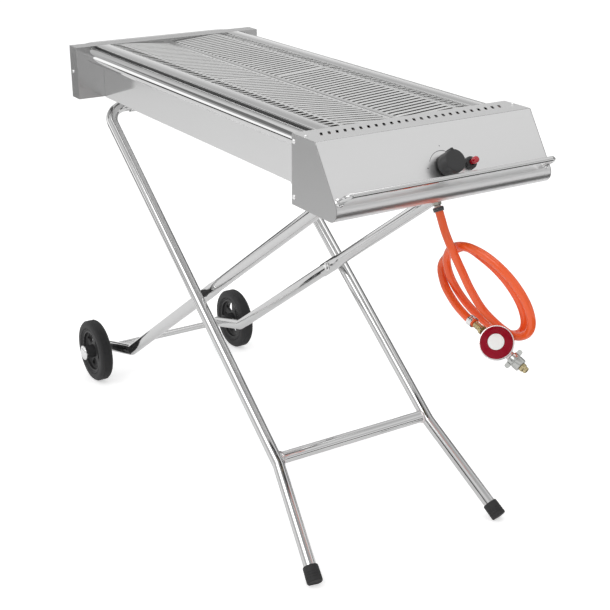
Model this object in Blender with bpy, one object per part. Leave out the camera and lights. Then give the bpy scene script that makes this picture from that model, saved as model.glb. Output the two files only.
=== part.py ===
"""Folding gas chargrill: a trough with four lift-out grids and a control box, on a scissor stand.

Metres, +Z up, the ground at Z = 0. +X runs from the wheeled end to the control box, and Y across.
The origin lies on the ground, below the middle of the object. "near" is -Y and "far" is +Y.
"""
import math

import bmesh
import bpy
from mathutils import Matrix, Vector

GAP = 0.0003                 # clearance between neighbouring pieces
NEAR, FAR = -1, 1
SIDES = {"near": NEAR, "far": FAR}

# Trough, its lip and the two end walls
TOP_Z = 0.8560               # top of the lip and of the control box
TROUGH_BOTTOM_Z = 0.7362
TROUGH_HALF_W = 0.1695
TROUGH_X = (-0.4590, 0.4597)
LIP_OUT_Y = 0.1836
LIP_IN_Y = 0.1515
LIP_DEPTH = 0.009
LEDGE_IN_Y = 0.1370
LEDGE_DROP = 0.0045
SHEET = 0.0012
END_PLATE_HALF_W = 0.2335
END_PLATE_BOTTOM_Z = 0.7389
END_PLATE_X = -0.4593
END_FLANGE = 0.0387
WALL_X = 0.4603

# Control box: flat top, sloping panel, round nose
BOX_HALF_W = 0.2300
BOX_REAR_X = 0.4600
BOX_TOP_DEPTH = 0.0710
PANEL_RUN = 0.0630
PANEL_DROP = 0.0940
NOSE_R = 0.0190
NOSE_STEPS = 8
NOSE_RETURN = 0.0120
VENT_COUNT = 25
VENT_SPAN_Y = 0.3826
VENT_SIZE = (0.0180, 0.0054)
VENT_SKEW = 0.0090           # how far each vent leans across, from its rear to its front end
VENT_X = 0.4910

# Side rails and handles
RAIL_Y = 0.1990
RAIL_Z = 0.8360
RAIL_R = 0.0150
RAIL_WALL = 0.0015
RAIL_LOOP_X = -0.5340
RAIL_BEND = 0.0450
HANDLE_HALF_W = 0.2195
HANDLE_R = 0.0050
HANDLE_ALONG = 0.1070
HANDLE_STANDOFF = 0.0300
HANDLE_BEND = 0.0110

# Cooking grids: two along the trough on each side of a shallow valley
GRID_SPLIT_X = 0.0110
GRID_ENDS_X = (-0.4585, 0.4590)
GRID_SLOTS = 27
GRID_THICK = 0.0022
GRID_OUT_Y = 0.1509
GRID_BEND_Y = 0.1235
GRID_IN_Y = 0.0008
GRID_VALLEY_DROP = 0.0080
SLOT_Y = (0.0120, 0.1165)
SLOT_SHARE = 0.42

# Gas train
BURNER_Y = 0.0750
BURNER_Z = 0.7780
BURNER_R = 0.0140
BURNER_WALL = 0.0012
BURNER_X = (-0.4200, 0.5050)
HEAT_PLATE_HALF_W = 0.0500
HEAT_PLATE_Z = (0.8000, 0.8200)
TRAY_SIZE = (0.8800, 0.3200, 0.0150)
MANIFOLD_X = 0.5280
MANIFOLD_R = 0.0070
MANIFOLD_HALF_LEN = 0.0900
INJECTOR_R = 0.0040
INJECTOR_LEN = 0.0125

# Controls, placed by y and by the distance down the sloping panel
KNOB_AT = (0.0090, 0.0785)
KNOB_R = 0.0210
KNOB_BASE = 0.0042
KNOB_TOP = 0.0300
SPINDLE_R = 0.0040
IGNITER_AT = (0.0580, 0.0810)
IGNITER_COLLAR_R = 0.0115
BUTTON_R = 0.0050

# Scissor stand
TUBE_R = 0.0127
TUBE_WALL = 0.0015
FOLD_Z = 0.7185
REAR_HINGE_X = -0.4300
CATCH_X = 0.4520
FOOT_Y = 0.1836
FOOT_SPLAY_Y = 0.2256
FOOT_X = 0.5390
KINK_X = 0.3312
CROSSBAR_X = 0.3210
FOOT_BEND = 0.0500
FOOT_CAP_R = 0.0158
FOOT_CAP_LEN = 0.0330
FOOT_CAP_FLOOR = 0.0070
FOOT_END_Z = 0.0085
WHEEL_Y = 0.1534
ARM_BEND = (-0.4270, 0.1105)
ARM_HALF_Y = 0.0090
ARM_HALF_H = 0.0130
FLAT_START = 0.0400
FLAT_END = 0.0340
FLAT_HALF_H = 0.0150

# Wheels and axle
AXLE_X = -0.5453
WHEEL_R = 0.0770
WHEEL_CENTRE_Y = 0.2008
TYRE_HALF_W = 0.0162
RIM_R = 0.0520
HUB_R = 0.0165
HUB_Y = (0.1670, 0.2300)
AXLE_R = 0.0060
AXLE_TUBE_R = 0.0080
AXLE_HALF_LEN = 0.2335
HUB_CAP_R = 0.0185

# Gas hose: it leaves its inlet, makes two loose turns that drift away, and ends in the regulator
HOSE_R = 0.0075
INLET_END = Vector((0.5560, 0.0085, 0.7137))
INLET_DIR = Vector((0.400, 0.090, -0.910)).normalized()
LEAD_IN = [
    (0.5932, 0.0139, 0.6461),
    (0.6076, 0.0255, 0.6095),
    (0.6185, 0.0425, 0.5685),
    (0.6329, 0.0663, 0.5265),
]
COIL_CENTRE = Vector((0.6582, 0.0530, 0.5806))
COIL_LONG = Vector((0.7232, 0.3161, -0.6141)).normalized()
COIL_SHORT = Vector((-0.6730, 0.1200, -0.7300)).normalized()
COIL_RADII = (0.0978, 0.0709)
COIL_DRIFT = Vector((-0.0368, 0.0181, -0.0143))
COIL_DEGREES = (40, -530, -30)
TAIL_OUT = [
    (0.5202, 0.0536, 0.5922),
    (0.5326, 0.0479, 0.5585),
    (0.5679, 0.0445, 0.5331),
    (0.6040, 0.0438, 0.5176),
    (0.6281, 0.0451, 0.5114),
]

# Regulator: a dome across a straight-through body
REG_CENTRE = Vector((0.6830, 0.0500, 0.4930))
REG_AXIS = Vector((0.8037, 0.3076, -0.5096)).normalized()
REG_FACE = Vector((0.5750, -0.6200, 0.5340)).normalized()
REG_BORE_DEPTH = 0.0078
REG_PORT = (-0.0320, 0.0340)
REG_R = 0.0295


def clear_scene():
    for obj in list(bpy.data.objects):
        bpy.data.objects.remove(obj, do_unlink=True)


def make_material(name, color, roughness, metallic):
    mat = bpy.data.materials.new(name)
    mat.use_nodes = True
    shader = mat.node_tree.nodes["Principled BSDF"]
    shader.inputs["Base Color"].default_value = (*color, 1.0)
    shader.inputs["Roughness"].default_value = roughness
    shader.inputs["Metallic"].default_value = metallic
    return mat


def add_piece(name, bm, mat, smooth_deg=40.0):
    """Put a finished bmesh in the scene as one named piece."""
    bmesh.ops.recalc_face_normals(bm, faces=bm.faces)
    mesh = bpy.data.meshes.new(name)
    bm.to_mesh(mesh)
    bm.free()
    mesh.materials.append(mat)
    mesh.shade_smooth()
    mesh.set_sharp_from_angle(angle=math.radians(smooth_deg))
    obj = bpy.data.objects.new(name, mesh)
    bpy.context.scene.collection.objects.link(obj)
    return obj


def add_cutter(bm):
    obj = add_piece("cutter", bm, bpy.data.materials[0])
    obj.hide_render = True
    obj.display_type = "WIRE"
    return obj


def apply_boolean(obj, bm, operation="DIFFERENCE"):
    modifier = obj.modifiers.new(operation.lower(), "BOOLEAN")
    modifier.operation = operation
    modifier.object = add_cutter(bm)
    return obj


def add_box(bm, low, high):
    size = [b - a for a, b in zip(low, high)]
    middle = [(a + b) / 2 for a, b in zip(low, high)]
    matrix = Matrix.Translation(middle) @ Matrix.Diagonal((*size, 1.0))
    bmesh.ops.create_cube(bm, size=1.0, matrix=matrix)


def box(low, high):
    bm = bmesh.new()
    add_box(bm, low, high)
    return bm


def prism(outline, axis, low, high, bm=None):
    """Extrude a closed 2-D outline along X, Y or Z; its two numbers are the other axes in order."""
    place = {
        "X": lambda a, b, c: (c, a, b),
        "Y": lambda a, b, c: (a, c, b),
        "Z": lambda a, b, c: (a, b, c),
    }[axis]
    bm = bm or bmesh.new()
    ends = [[bm.verts.new(place(a, b, c)) for a, b in outline] for c in (low, high)]
    bm.faces.new(ends[0])
    bm.faces.new(ends[1][::-1])
    for i in range(len(outline)):
        j = (i + 1) % len(outline)
        bm.faces.new((ends[0][i], ends[0][j], ends[1][j], ends[1][i]))
    return bm


def folded_sheet(path, thickness):
    """Outline of a bent sheet: the path, then the same path moved to its left by the thickness."""
    points = [Vector(p) for p in path]
    lefts = []
    for a, b in zip(points, points[1:]):
        run = (b - a).normalized()
        lefts.append(Vector((-run.y, run.x)))
    inner = []
    for i, point in enumerate(points):
        before = lefts[max(i - 1, 0)]
        after = lefts[min(i, len(lefts) - 1)]
        mitre = (before + after).normalized()
        inner.append(point + mitre * (thickness / mitre.dot(after)))
    return [tuple(p) for p in points + inner[::-1]]


def add_tray(name, mat, low, high, wall, open_axis, open_sign):
    """A box of five walls, open on one side."""
    piece = add_piece(name, box(low, high), mat)
    inner_low = [a + wall for a in low]
    inner_high = [b - wall for b in high]
    if open_sign > 0:
        inner_high[open_axis] += wall + 0.01
    else:
        inner_low[open_axis] -= wall + 0.01
    return apply_boolean(piece, box(inner_low, inner_high))


def round_corners(points, radius, steps):
    """Replace each inner corner of a 3-D path with an arc of the given radius."""
    points = [Vector(p) for p in points]
    path = [points[0]]
    for before, corner, after in zip(points, points[1:], points[2:]):
        into = (before - corner).normalized()
        out = (after - corner).normalized()
        half = into.angle(out) / 2
        centre = corner + (into + out).normalized() * (radius / math.sin(half))
        start = corner + into * (radius / math.tan(half)) - centre
        end = corner + out * (radius / math.tan(half)) - centre
        turn = start.angle(end)
        for k in range(steps + 1):
            part = k / steps
            blend = start * math.sin((1 - part) * turn) + end * math.sin(part * turn)
            path.append(centre + blend / math.sin(turn))
    path.append(points[-1])
    return path


def ring_frames(path):
    """A side and an up vector at each point of a path, turned as little as possible on the way."""
    runs = [(b - a).normalized() for a, b in zip(path, path[1:])]
    tangents = [runs[0]]
    tangents += [(a + b).normalized() for a, b in zip(runs, runs[1:])]
    tangents.append(runs[-1])
    side = tangents[0].orthogonal().normalized()
    if abs(tangents[0].y) < 0.9:
        side = (Vector((0, 1, 0)) - tangents[0] * tangents[0].y).normalized()
    frames = []
    for index, tangent in enumerate(tangents):
        side = (side - tangent * side.dot(tangent)).normalized()
        stretch = 1.0
        if 0 < index < len(path) - 1:
            stretch = 1.0 / max(runs[index].dot(tangent), 0.5)
        frames.append((side.copy(), tangent.cross(side), stretch))
    return frames


def skin(path, half_widths, sides):
    """Rings of points around a path; each half width is (along the side vector, along up)."""
    rings = []
    for point, (side, up, stretch), (across, tall) in zip(path, ring_frames(path), half_widths):
        ring = []
        for k in range(sides):
            turn = 2 * math.pi * (k + 0.5) / sides
            ring.append(point + side * across * math.cos(turn) + up * tall * stretch * math.sin(turn))
        rings.append(ring)
    return rings


def sweep(path, half_widths, sides, wall=0.0):
    """A solid rod along a path, or an open tube when it has a wall."""
    path = [Vector(p) for p in path]
    if isinstance(half_widths, float):
        half_widths = [(half_widths, half_widths)] * len(path)
    bm = bmesh.new()
    layers = [skin(path, half_widths, sides)]
    if wall:
        inner = [(across - wall, tall - wall) for across, tall in half_widths]
        layers.append(skin(path, inner, sides))
    built = []
    for rings in layers:
        verts = [[bm.verts.new(p) for p in ring] for ring in rings]
        for low, high in zip(verts, verts[1:]):
            for i in range(sides):
                j = (i + 1) % sides
                bm.faces.new((low[i], low[j], high[j], high[i]))
        built.append(verts)
    for end in (0, -1):
        if wall:
            for i in range(sides):
                j = (i + 1) % sides
                bm.faces.new((built[0][end][i], built[0][end][j], built[1][end][j], built[1][end][i]))
        else:
            bm.faces.new(built[0][end])
    return bm


def lathe(profile, origin, axis, sides, closed=False):
    """Turn (radius, height) points about an axis. A closed profile makes a ring."""
    axis = Vector(axis).normalized()
    side = axis.orthogonal().normalized()
    if abs(axis.z) < 0.9:
        side = (Vector((0, 0, -1)) + axis * axis.z).normalized()
    other = axis.cross(side)
    origin = Vector(origin)
    bm = bmesh.new()
    rings = []
    for radius, height in profile:
        centre = origin + axis * height
        if radius == 0.0:
            rings.append([bm.verts.new(centre)])
            continue
        turns = [2 * math.pi * k / sides for k in range(sides)]
        rings.append(
            [bm.verts.new(centre + (side * math.cos(t) + other * math.sin(t)) * radius) for t in turns]
        )
    pairs = list(zip(rings, rings[1:]))
    if closed:
        pairs.append((rings[-1], rings[0]))
    for low, high in pairs:
        for i in range(sides):
            j = (i + 1) % sides
            corners = (low[i % len(low)], low[j % len(low)], high[j % len(high)], high[i % len(high)])
            unique = list(dict.fromkeys(corners))
            if len(unique) > 2:
                bm.faces.new(unique)
    return bm


def rod(start, end, radius, sides=16):
    return sweep([start, end], radius, sides)


# --- control box geometry -------------------------------------------------------------------

PANEL_ANGLE = math.atan2(PANEL_DROP, PANEL_RUN)
PANEL_NORMAL = Vector((math.sin(PANEL_ANGLE), 0.0, math.cos(PANEL_ANGLE)))
PANEL_DOWN = Vector((math.cos(PANEL_ANGLE), 0.0, -math.sin(PANEL_ANGLE)))
PANEL_TOP = Vector((BOX_REAR_X + BOX_TOP_DEPTH, 0.0, TOP_Z))


def on_panel(y, along, out):
    """The point at a distance down the sloping panel and a distance out from it."""
    return PANEL_TOP + PANEL_DOWN * along + PANEL_NORMAL * out + Vector((0.0, y, 0.0))


def box_profile():
    """The outer line of the control box in X and Z, from its top rear edge to its bottom edge."""
    end_x = PANEL_TOP.x + PANEL_RUN
    end_z = TOP_Z - PANEL_DROP
    centre_x = end_x - NOSE_R * PANEL_NORMAL.x
    centre_z = end_z - NOSE_R * PANEL_NORMAL.z
    points = [(BOX_REAR_X, TOP_Z), (PANEL_TOP.x, TOP_Z)]
    start = math.pi / 2 - PANEL_ANGLE
    for k in range(NOSE_STEPS + 1):
        turn = start - (start + math.pi / 2) * k / NOSE_STEPS
        points.append((centre_x + NOSE_R * math.cos(turn), centre_z + NOSE_R * math.sin(turn)))
    return points


BOX_BOTTOM_Z = box_profile()[-1][1]


# --- body pieces ----------------------------------------------------------------------------

def make_trough(steel):
    half = [
        (TROUGH_HALF_W, TROUGH_BOTTOM_Z),
        (TROUGH_HALF_W, TOP_Z - LIP_DEPTH),
        (LIP_OUT_Y, TOP_Z - LIP_DEPTH),
        (LIP_OUT_Y, TOP_Z),
        (LIP_IN_Y, TOP_Z),
        (LIP_IN_Y, TOP_Z - LEDGE_DROP),
        (LEDGE_IN_Y, TOP_Z - LEDGE_DROP),
    ]
    path = [(-y, z) for y, z in half[::-1]] + half
    add_piece("trough", prism(folded_sheet(path, SHEET), "X", *TROUGH_X), steel)


def make_rear_end_plate(steel):
    low = (END_PLATE_X - END_FLANGE, -END_PLATE_HALF_W, END_PLATE_BOTTOM_Z)
    high = (END_PLATE_X, END_PLATE_HALF_W, TOP_Z)
    plate = add_tray("rear_end_plate", steel, low, high, SHEET, 0, -1)
    for side in SIDES.values():
        start = (END_PLATE_X - 0.01, side * RAIL_Y, RAIL_Z)
        end = (END_PLATE_X + 0.01, side * RAIL_Y, RAIL_Z)
        apply_boolean(plate, rod(start, end, RAIL_R + GAP))


def make_front_wall(steel):
    low = (WALL_X, -BOX_HALF_W + 0.0018, BOX_BOTTOM_Z + 0.0010)
    high = (WALL_X + SHEET, BOX_HALF_W - 0.0018, TOP_Z - SHEET - GAP)
    wall = add_piece("front_wall", box(low, high), steel)
    for side in SIDES.values():
        start = (WALL_X - 0.01, side * BURNER_Y, BURNER_Z)
        end = (WALL_X + 0.01, side * BURNER_Y, BURNER_Z)
        apply_boolean(wall, rod(start, end, BURNER_R + GAP))


def make_control_cover(steel):
    path = box_profile()
    path.append((path[-1][0] - NOSE_RETURN, path[-1][1]))
    half = BOX_HALF_W - SHEET - GAP
    cover = add_piece("control_cover", prism(folded_sheet(path, -SHEET), "Y", -half, half), steel)
    vents = bmesh.new()
    for k in range(VENT_COUNT):
        y = VENT_SPAN_Y * (k / (VENT_COUNT - 1) - 0.5)
        long, wide, lean = VENT_SIZE[0] / 2, VENT_SIZE[1] / 2, VENT_SKEW / 2
        outline = [
            (VENT_X - long, y + lean - wide),
            (VENT_X + long, y - lean - wide),
            (VENT_X + long, y - lean + wide),
            (VENT_X - long, y + lean + wide),
        ]
        prism(outline, "Z", TOP_Z - 0.003, TOP_Z + 0.003, vents)
    apply_boolean(cover, vents)
    for (y, along), radius in ((KNOB_AT, SPINDLE_R + 0.0015), (IGNITER_AT, BUTTON_R + 0.0040)):
        apply_boolean(cover, rod(on_panel(y, along, -0.005), on_panel(y, along, 0.005), radius))


def make_side_covers(steel):
    outline = box_profile()
    outline.append((BOX_REAR_X, BOX_BOTTOM_Z))
    for name, side in SIDES.items():
        ends = sorted((side * BOX_HALF_W, side * (BOX_HALF_W - SHEET)))
        add_piece(f"side_cover_{name}", prism(outline, "Y", *ends), steel)


def make_rail_loop(steel):
    front_x = WALL_X - GAP
    corners = [
        (front_x, -RAIL_Y, RAIL_Z),
        (RAIL_LOOP_X, -RAIL_Y, RAIL_Z),
        (RAIL_LOOP_X, RAIL_Y, RAIL_Z),
        (front_x, RAIL_Y, RAIL_Z),
    ]
    add_piece("rail_loop", sweep(round_corners(corners, RAIL_BEND, 6), RAIL_R, 12, RAIL_WALL), steel)


def make_front_handle(steel):
    corners = [
        on_panel(-HANDLE_HALF_W, HANDLE_ALONG, GAP),
        on_panel(-HANDLE_HALF_W, HANDLE_ALONG, HANDLE_STANDOFF),
        on_panel(HANDLE_HALF_W, HANDLE_ALONG, HANDLE_STANDOFF),
        on_panel(HANDLE_HALF_W, HANDLE_ALONG, GAP),
    ]
    add_piece("front_handle", sweep(round_corners(corners, HANDLE_BEND, 4), HANDLE_R, 10), steel)


def grid_half_profile(side):
    """Cross-section of one grid in Y and Z: a level flange, then a slope down to the valley."""
    level = TOP_Z - LEDGE_DROP + GAP
    slope = GRID_VALLEY_DROP / (GRID_BEND_Y - GRID_IN_Y)
    dip = level - GRID_VALLEY_DROP
    upper = GRID_THICK * (1 + slope * slope) ** 0.5
    return [
        (side * GRID_OUT_Y, level),
        (side * GRID_BEND_Y, level),
        (side * GRID_IN_Y, dip),
        (side * GRID_IN_Y, dip + upper),
        (side * GRID_BEND_Y, level + upper),
        (side * GRID_OUT_Y, level + GRID_THICK),
    ]


def make_cooking_grids(steel):
    ends = {
        "rear": (GRID_ENDS_X[0], GRID_SPLIT_X - GAP),
        "front": (GRID_SPLIT_X + GAP, GRID_ENDS_X[1]),
    }
    for place, (low_x, high_x) in ends.items():
        pitch = (high_x - low_x) / GRID_SLOTS
        for name, side in SIDES.items():
            body = prism(grid_half_profile(side), "X", low_x, high_x)
            grid = add_piece(f"cooking_grid_{place}_{name}", body, steel)
            slots = bmesh.new()
            for k in range(GRID_SLOTS):
                x = low_x + pitch * (k + 0.5)
                reach = pitch * SLOT_SHARE / 2
                y_ends = sorted(side * y for y in SLOT_Y)
                add_box(slots, (x - reach, y_ends[0], TOP_Z - 0.03), (x + reach, y_ends[1], TOP_Z + 0.01))
            apply_boolean(grid, slots)


# --- gas train ------------------------------------------------------------------------------

def make_burners(steel):
    for name, side in SIDES.items():
        path = [(x, side * BURNER_Y, BURNER_Z) for x in BURNER_X]
        add_piece(f"burner_{name}", sweep(path, BURNER_R, 16, BURNER_WALL), steel)


def make_heat_plates(steel):
    low_z, high_z = HEAT_PLATE_Z
    for name, side in SIDES.items():
        middle = side * BURNER_Y
        path = [(middle - HEAT_PLATE_HALF_W, low_z), (middle, high_z), (middle + HEAT_PLATE_HALF_W, low_z)]
        outline = folded_sheet(path, SHEET)
        add_piece(f"heat_plate_{name}", prism(outline, "X", END_PLATE_X + GAP, WALL_X - GAP), steel)


def make_fat_tray(steel):
    length, width, height = TRAY_SIZE
    floor = TROUGH_BOTTOM_Z + SHEET + GAP
    low = (-length / 2, -width / 2, floor)
    high = (length / 2, width / 2, floor + height)
    add_tray("fat_tray", steel, low, high, SHEET, 2, 1)


def make_gas_manifold(brass):
    ends = [(MANIFOLD_X, side * MANIFOLD_HALF_LEN, BURNER_Z) for side in SIDES.values()]
    manifold = add_piece("gas_manifold", rod(*ends, MANIFOLD_R, 12), brass)
    for side in SIDES.values():
        start = (MANIFOLD_X, side * BURNER_Y, BURNER_Z)
        end = (MANIFOLD_X - MANIFOLD_R - INJECTOR_LEN, side * BURNER_Y, BURNER_Z)
        apply_boolean(manifold, rod(start, end, INJECTOR_R, 10), "UNION")


def make_valve_and_knob(brass, steel, black):
    y, along = KNOB_AT
    origin = on_panel(y, along, 0.0)
    body = [
        (0.0, -0.0090),
        (SPINDLE_R + 0.0005, -0.0090),
        (SPINDLE_R + 0.0005, -0.0016),
        (0.0090, -0.0016),
        (0.0130, -0.0060),
        (0.0130, -0.0220),
        (0.0070, -0.0240),
        (0.0070, -0.0300),
        (0.0, -0.0300),
    ]
    add_piece("gas_valve", lathe(body, origin, PANEL_NORMAL, 16), brass)
    spindle = [(0.0, -0.0050), (SPINDLE_R, -0.0050), (SPINDLE_R, 0.0200), (0.0, 0.0200)]
    add_piece("valve_spindle", lathe(spindle, origin, PANEL_NORMAL, 12), steel)
    knob = [
        (0.0, 0.0203),
        (SPINDLE_R + GAP, 0.0203),
        (SPINDLE_R + GAP, KNOB_BASE),
        (KNOB_R * 1.02, KNOB_BASE),
        (KNOB_R * 0.97, KNOB_TOP - 0.0015),
        (KNOB_R * 0.90, KNOB_TOP),
        (0.0, KNOB_TOP),
    ]
    knob_piece = add_piece("control_knob", lathe(knob, origin, PANEL_NORMAL, 32), black)
    pointer = box((-0.0230, -0.0022, 0.0200), (-0.0100, 0.0022, 0.0310))
    turn = Matrix((PANEL_DOWN, Vector((0, 1, 0)), PANEL_NORMAL)).transposed().to_4x4()
    pointer.transform(Matrix.Translation(origin) @ turn)
    apply_boolean(knob_piece, pointer, "UNION")


def make_igniter(black, red, ceramic):
    y, along = IGNITER_AT
    origin = on_panel(y, along, 0.0)
    body = [
        (0.0, -0.0120),
        (BUTTON_R + GAP, -0.0120),
        (BUTTON_R + GAP, 0.0080),
        (IGNITER_COLLAR_R * 0.85, 0.0080),
        (IGNITER_COLLAR_R, 0.0065),
        (IGNITER_COLLAR_R, GAP),
        (BUTTON_R + 0.0036, GAP),
        (BUTTON_R + 0.0036, -0.0300),
        (0.0, -0.0300),
    ]
    add_piece("igniter_body", lathe(body, origin, PANEL_NORMAL, 18), black)
    button = [(0.0, -0.0060), (BUTTON_R, -0.0060), (BUTTON_R, 0.0225), (BUTTON_R * 0.7, 0.0240), (0.0, 0.0243)]
    add_piece("igniter_button", lathe(button, origin, PANEL_NORMAL, 16), red)
    electrode_end = Vector((0.4050, 0.0480, 0.7990))
    electrode_root = Vector((WALL_X - GAP, 0.0480, 0.7990))
    add_piece("igniter_electrode", rod(electrode_root, electrode_end, 0.0030, 10), ceramic)
    lead_start = on_panel(y, along, -0.0303)
    lead_end = Vector((WALL_X + SHEET + GAP, 0.0480, 0.7990))
    lead = [
        lead_start,
        lead_start - PANEL_NORMAL * 0.012,
        (lead_start + lead_end) / 2 + Vector((0, 0, -0.012)),
        lead_end + Vector((0.015, 0, 0)),
        lead_end,
    ]
    add_piece("igniter_lead", sweep(round_corners(lead, 0.006, 3), 0.0015, 8), black)


# --- stand ----------------------------------------------------------------------------------

LEG_SLOPE = FOLD_Z / (FOOT_X - REAR_HINGE_X)
WHEEL_SLOPE = (FOLD_Z - ARM_BEND[1]) / (CATCH_X - ARM_BEND[0])
PIVOT_X = (REAR_HINGE_X * LEG_SLOPE + CATCH_X * WHEEL_SLOPE) / (LEG_SLOPE + WHEEL_SLOPE)
PIVOT_Z = FOLD_Z - (PIVOT_X - REAR_HINGE_X) * LEG_SLOPE


def leg_point(x, y):
    return Vector((x, y, FOLD_Z - (x - REAR_HINGE_X) * LEG_SLOPE))


def foot_direction(side):
    return (leg_point(KINK_X, side * FOOT_Y) - leg_point(FOOT_X, side * FOOT_SPLAY_Y)).normalized()


def make_foot_frame(steel):
    ends = []
    for side in SIDES.values():
        foot = leg_point(FOOT_X, side * FOOT_SPLAY_Y)
        direction = foot_direction(side)
        start = foot + direction * ((FOOT_END_Z + FOOT_CAP_FLOOR + GAP) / direction.z)
        ends.append([start, leg_point(KINK_X, side * FOOT_Y), leg_point(REAR_HINGE_X, side * FOOT_Y)])
    corners = ends[0] + ends[1][::-1]
    kinked = round_corners(corners, FOOT_BEND, 5)
    frame = add_piece("foot_frame", sweep(kinked, TUBE_R, 12, TUBE_WALL), steel)
    for side in SIDES.values():
        inner = (PIVOT_X, side * (FOOT_Y - TUBE_R - 0.005), PIVOT_Z)
        outer = (PIVOT_X, side * FOOT_Y, PIVOT_Z)
        apply_boolean(frame, rod(inner, outer, 0.0043, 12))


def make_crossbar(steel):
    reach = FOOT_Y - TUBE_R - GAP
    ends = [leg_point(CROSSBAR_X, side * reach) for side in SIDES.values()]
    add_piece("foot_crossbar", sweep(ends, TUBE_R, 12, TUBE_WALL), steel)


def make_foot_caps(rubber):
    for name, side in SIDES.items():
        direction = foot_direction(side)
        base = leg_point(FOOT_X, side * FOOT_SPLAY_Y) + direction * (FOOT_END_Z / direction.z)
        profile = [
            (0.0, 0.0),
            (FOOT_CAP_R * 0.93, 0.0),
            (FOOT_CAP_R, 0.002),
            (FOOT_CAP_R * 0.97, FOOT_CAP_LEN),
            (TUBE_R + GAP, FOOT_CAP_LEN),
            (TUBE_R + GAP, FOOT_CAP_FLOOR),
            (0.0, FOOT_CAP_FLOOR),
        ]
        cap = add_piece(f"foot_cap_{name}", lathe(profile, base, direction, 20), rubber)
        below = box((FOOT_X - 0.1, side * FOOT_SPLAY_Y - 0.1, -0.1), (FOOT_X + 0.1, side * FOOT_SPLAY_Y + 0.1, 0.0))
        apply_boolean(cap, below)


def wheel_line_point(distance, y):
    """A point on the wheel frame's straight leg, measured down from the scissor pivot."""
    run = Vector((-1.0, 0.0, -WHEEL_SLOPE)).normalized()
    return Vector((PIVOT_X, y, PIVOT_Z)) + run * distance


def make_wheel_legs(steel):
    """Upper legs: round tubes, pressed flat where the scissor bolt goes through."""
    top = -(CATCH_X - PIVOT_X) * math.hypot(1.0, WHEEL_SLOPE)
    marks = [
        (top, TUBE_R, TUBE_R),
        (-FLAT_START, TUBE_R, TUBE_R),
        (-FLAT_START * 0.6, ARM_HALF_Y + 0.0006, FLAT_HALF_H),
        (FLAT_END, ARM_HALF_Y + 0.0006, FLAT_HALF_H),
    ]
    for name, side in SIDES.items():
        path = [wheel_line_point(distance, side * WHEEL_Y) for distance, _, _ in marks]
        widths = [(across, tall) for _, across, tall in marks]
        leg = add_piece(f"wheel_leg_{name}", sweep(path, widths, 12, TUBE_WALL), steel)
        bolt_ends = [(PIVOT_X, side * (WHEEL_Y + reach), PIVOT_Z) for reach in (-0.02, 0.02)]
        apply_boolean(leg, rod(*bolt_ends, 0.0043, 12))


def make_wheel_arms(steel):
    """Lower arms: flat-sided tubes that bend back to the axle."""
    for name, side in SIDES.items():
        start = wheel_line_point(FLAT_END + GAP, side * WHEEL_Y)
        bend = Vector((ARM_BEND[0], side * WHEEL_Y, ARM_BEND[1]))
        axle = Vector((AXLE_X, side * WHEEL_Y, WHEEL_R))
        tip = axle + (axle - bend).normalized() * 0.0120
        path = round_corners([start, bend, tip], 0.020, 3)
        widths = [(ARM_HALF_Y, ARM_HALF_H)] * len(path)
        arm = add_piece(f"wheel_arm_{name}", sweep(path, widths, 12, TUBE_WALL), steel)
        hole_ends = [(AXLE_X, side * (WHEEL_Y + reach), WHEEL_R) for reach in (-0.02, 0.02)]
        apply_boolean(arm, rod(*hole_ends, AXLE_R + GAP, 12))


def make_axle(steel):
    reach = WHEEL_Y - ARM_HALF_Y - GAP
    ends = [(AXLE_X, side * reach, WHEEL_R) for side in SIDES.values()]
    add_piece("axle_tube", sweep(ends, AXLE_TUBE_R, 12, AXLE_TUBE_R - AXLE_R - GAP), steel)
    ends = [(AXLE_X, side * AXLE_HALF_LEN, WHEEL_R) for side in SIDES.values()]
    add_piece("axle", rod(*ends, AXLE_R, 12), steel)


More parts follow.
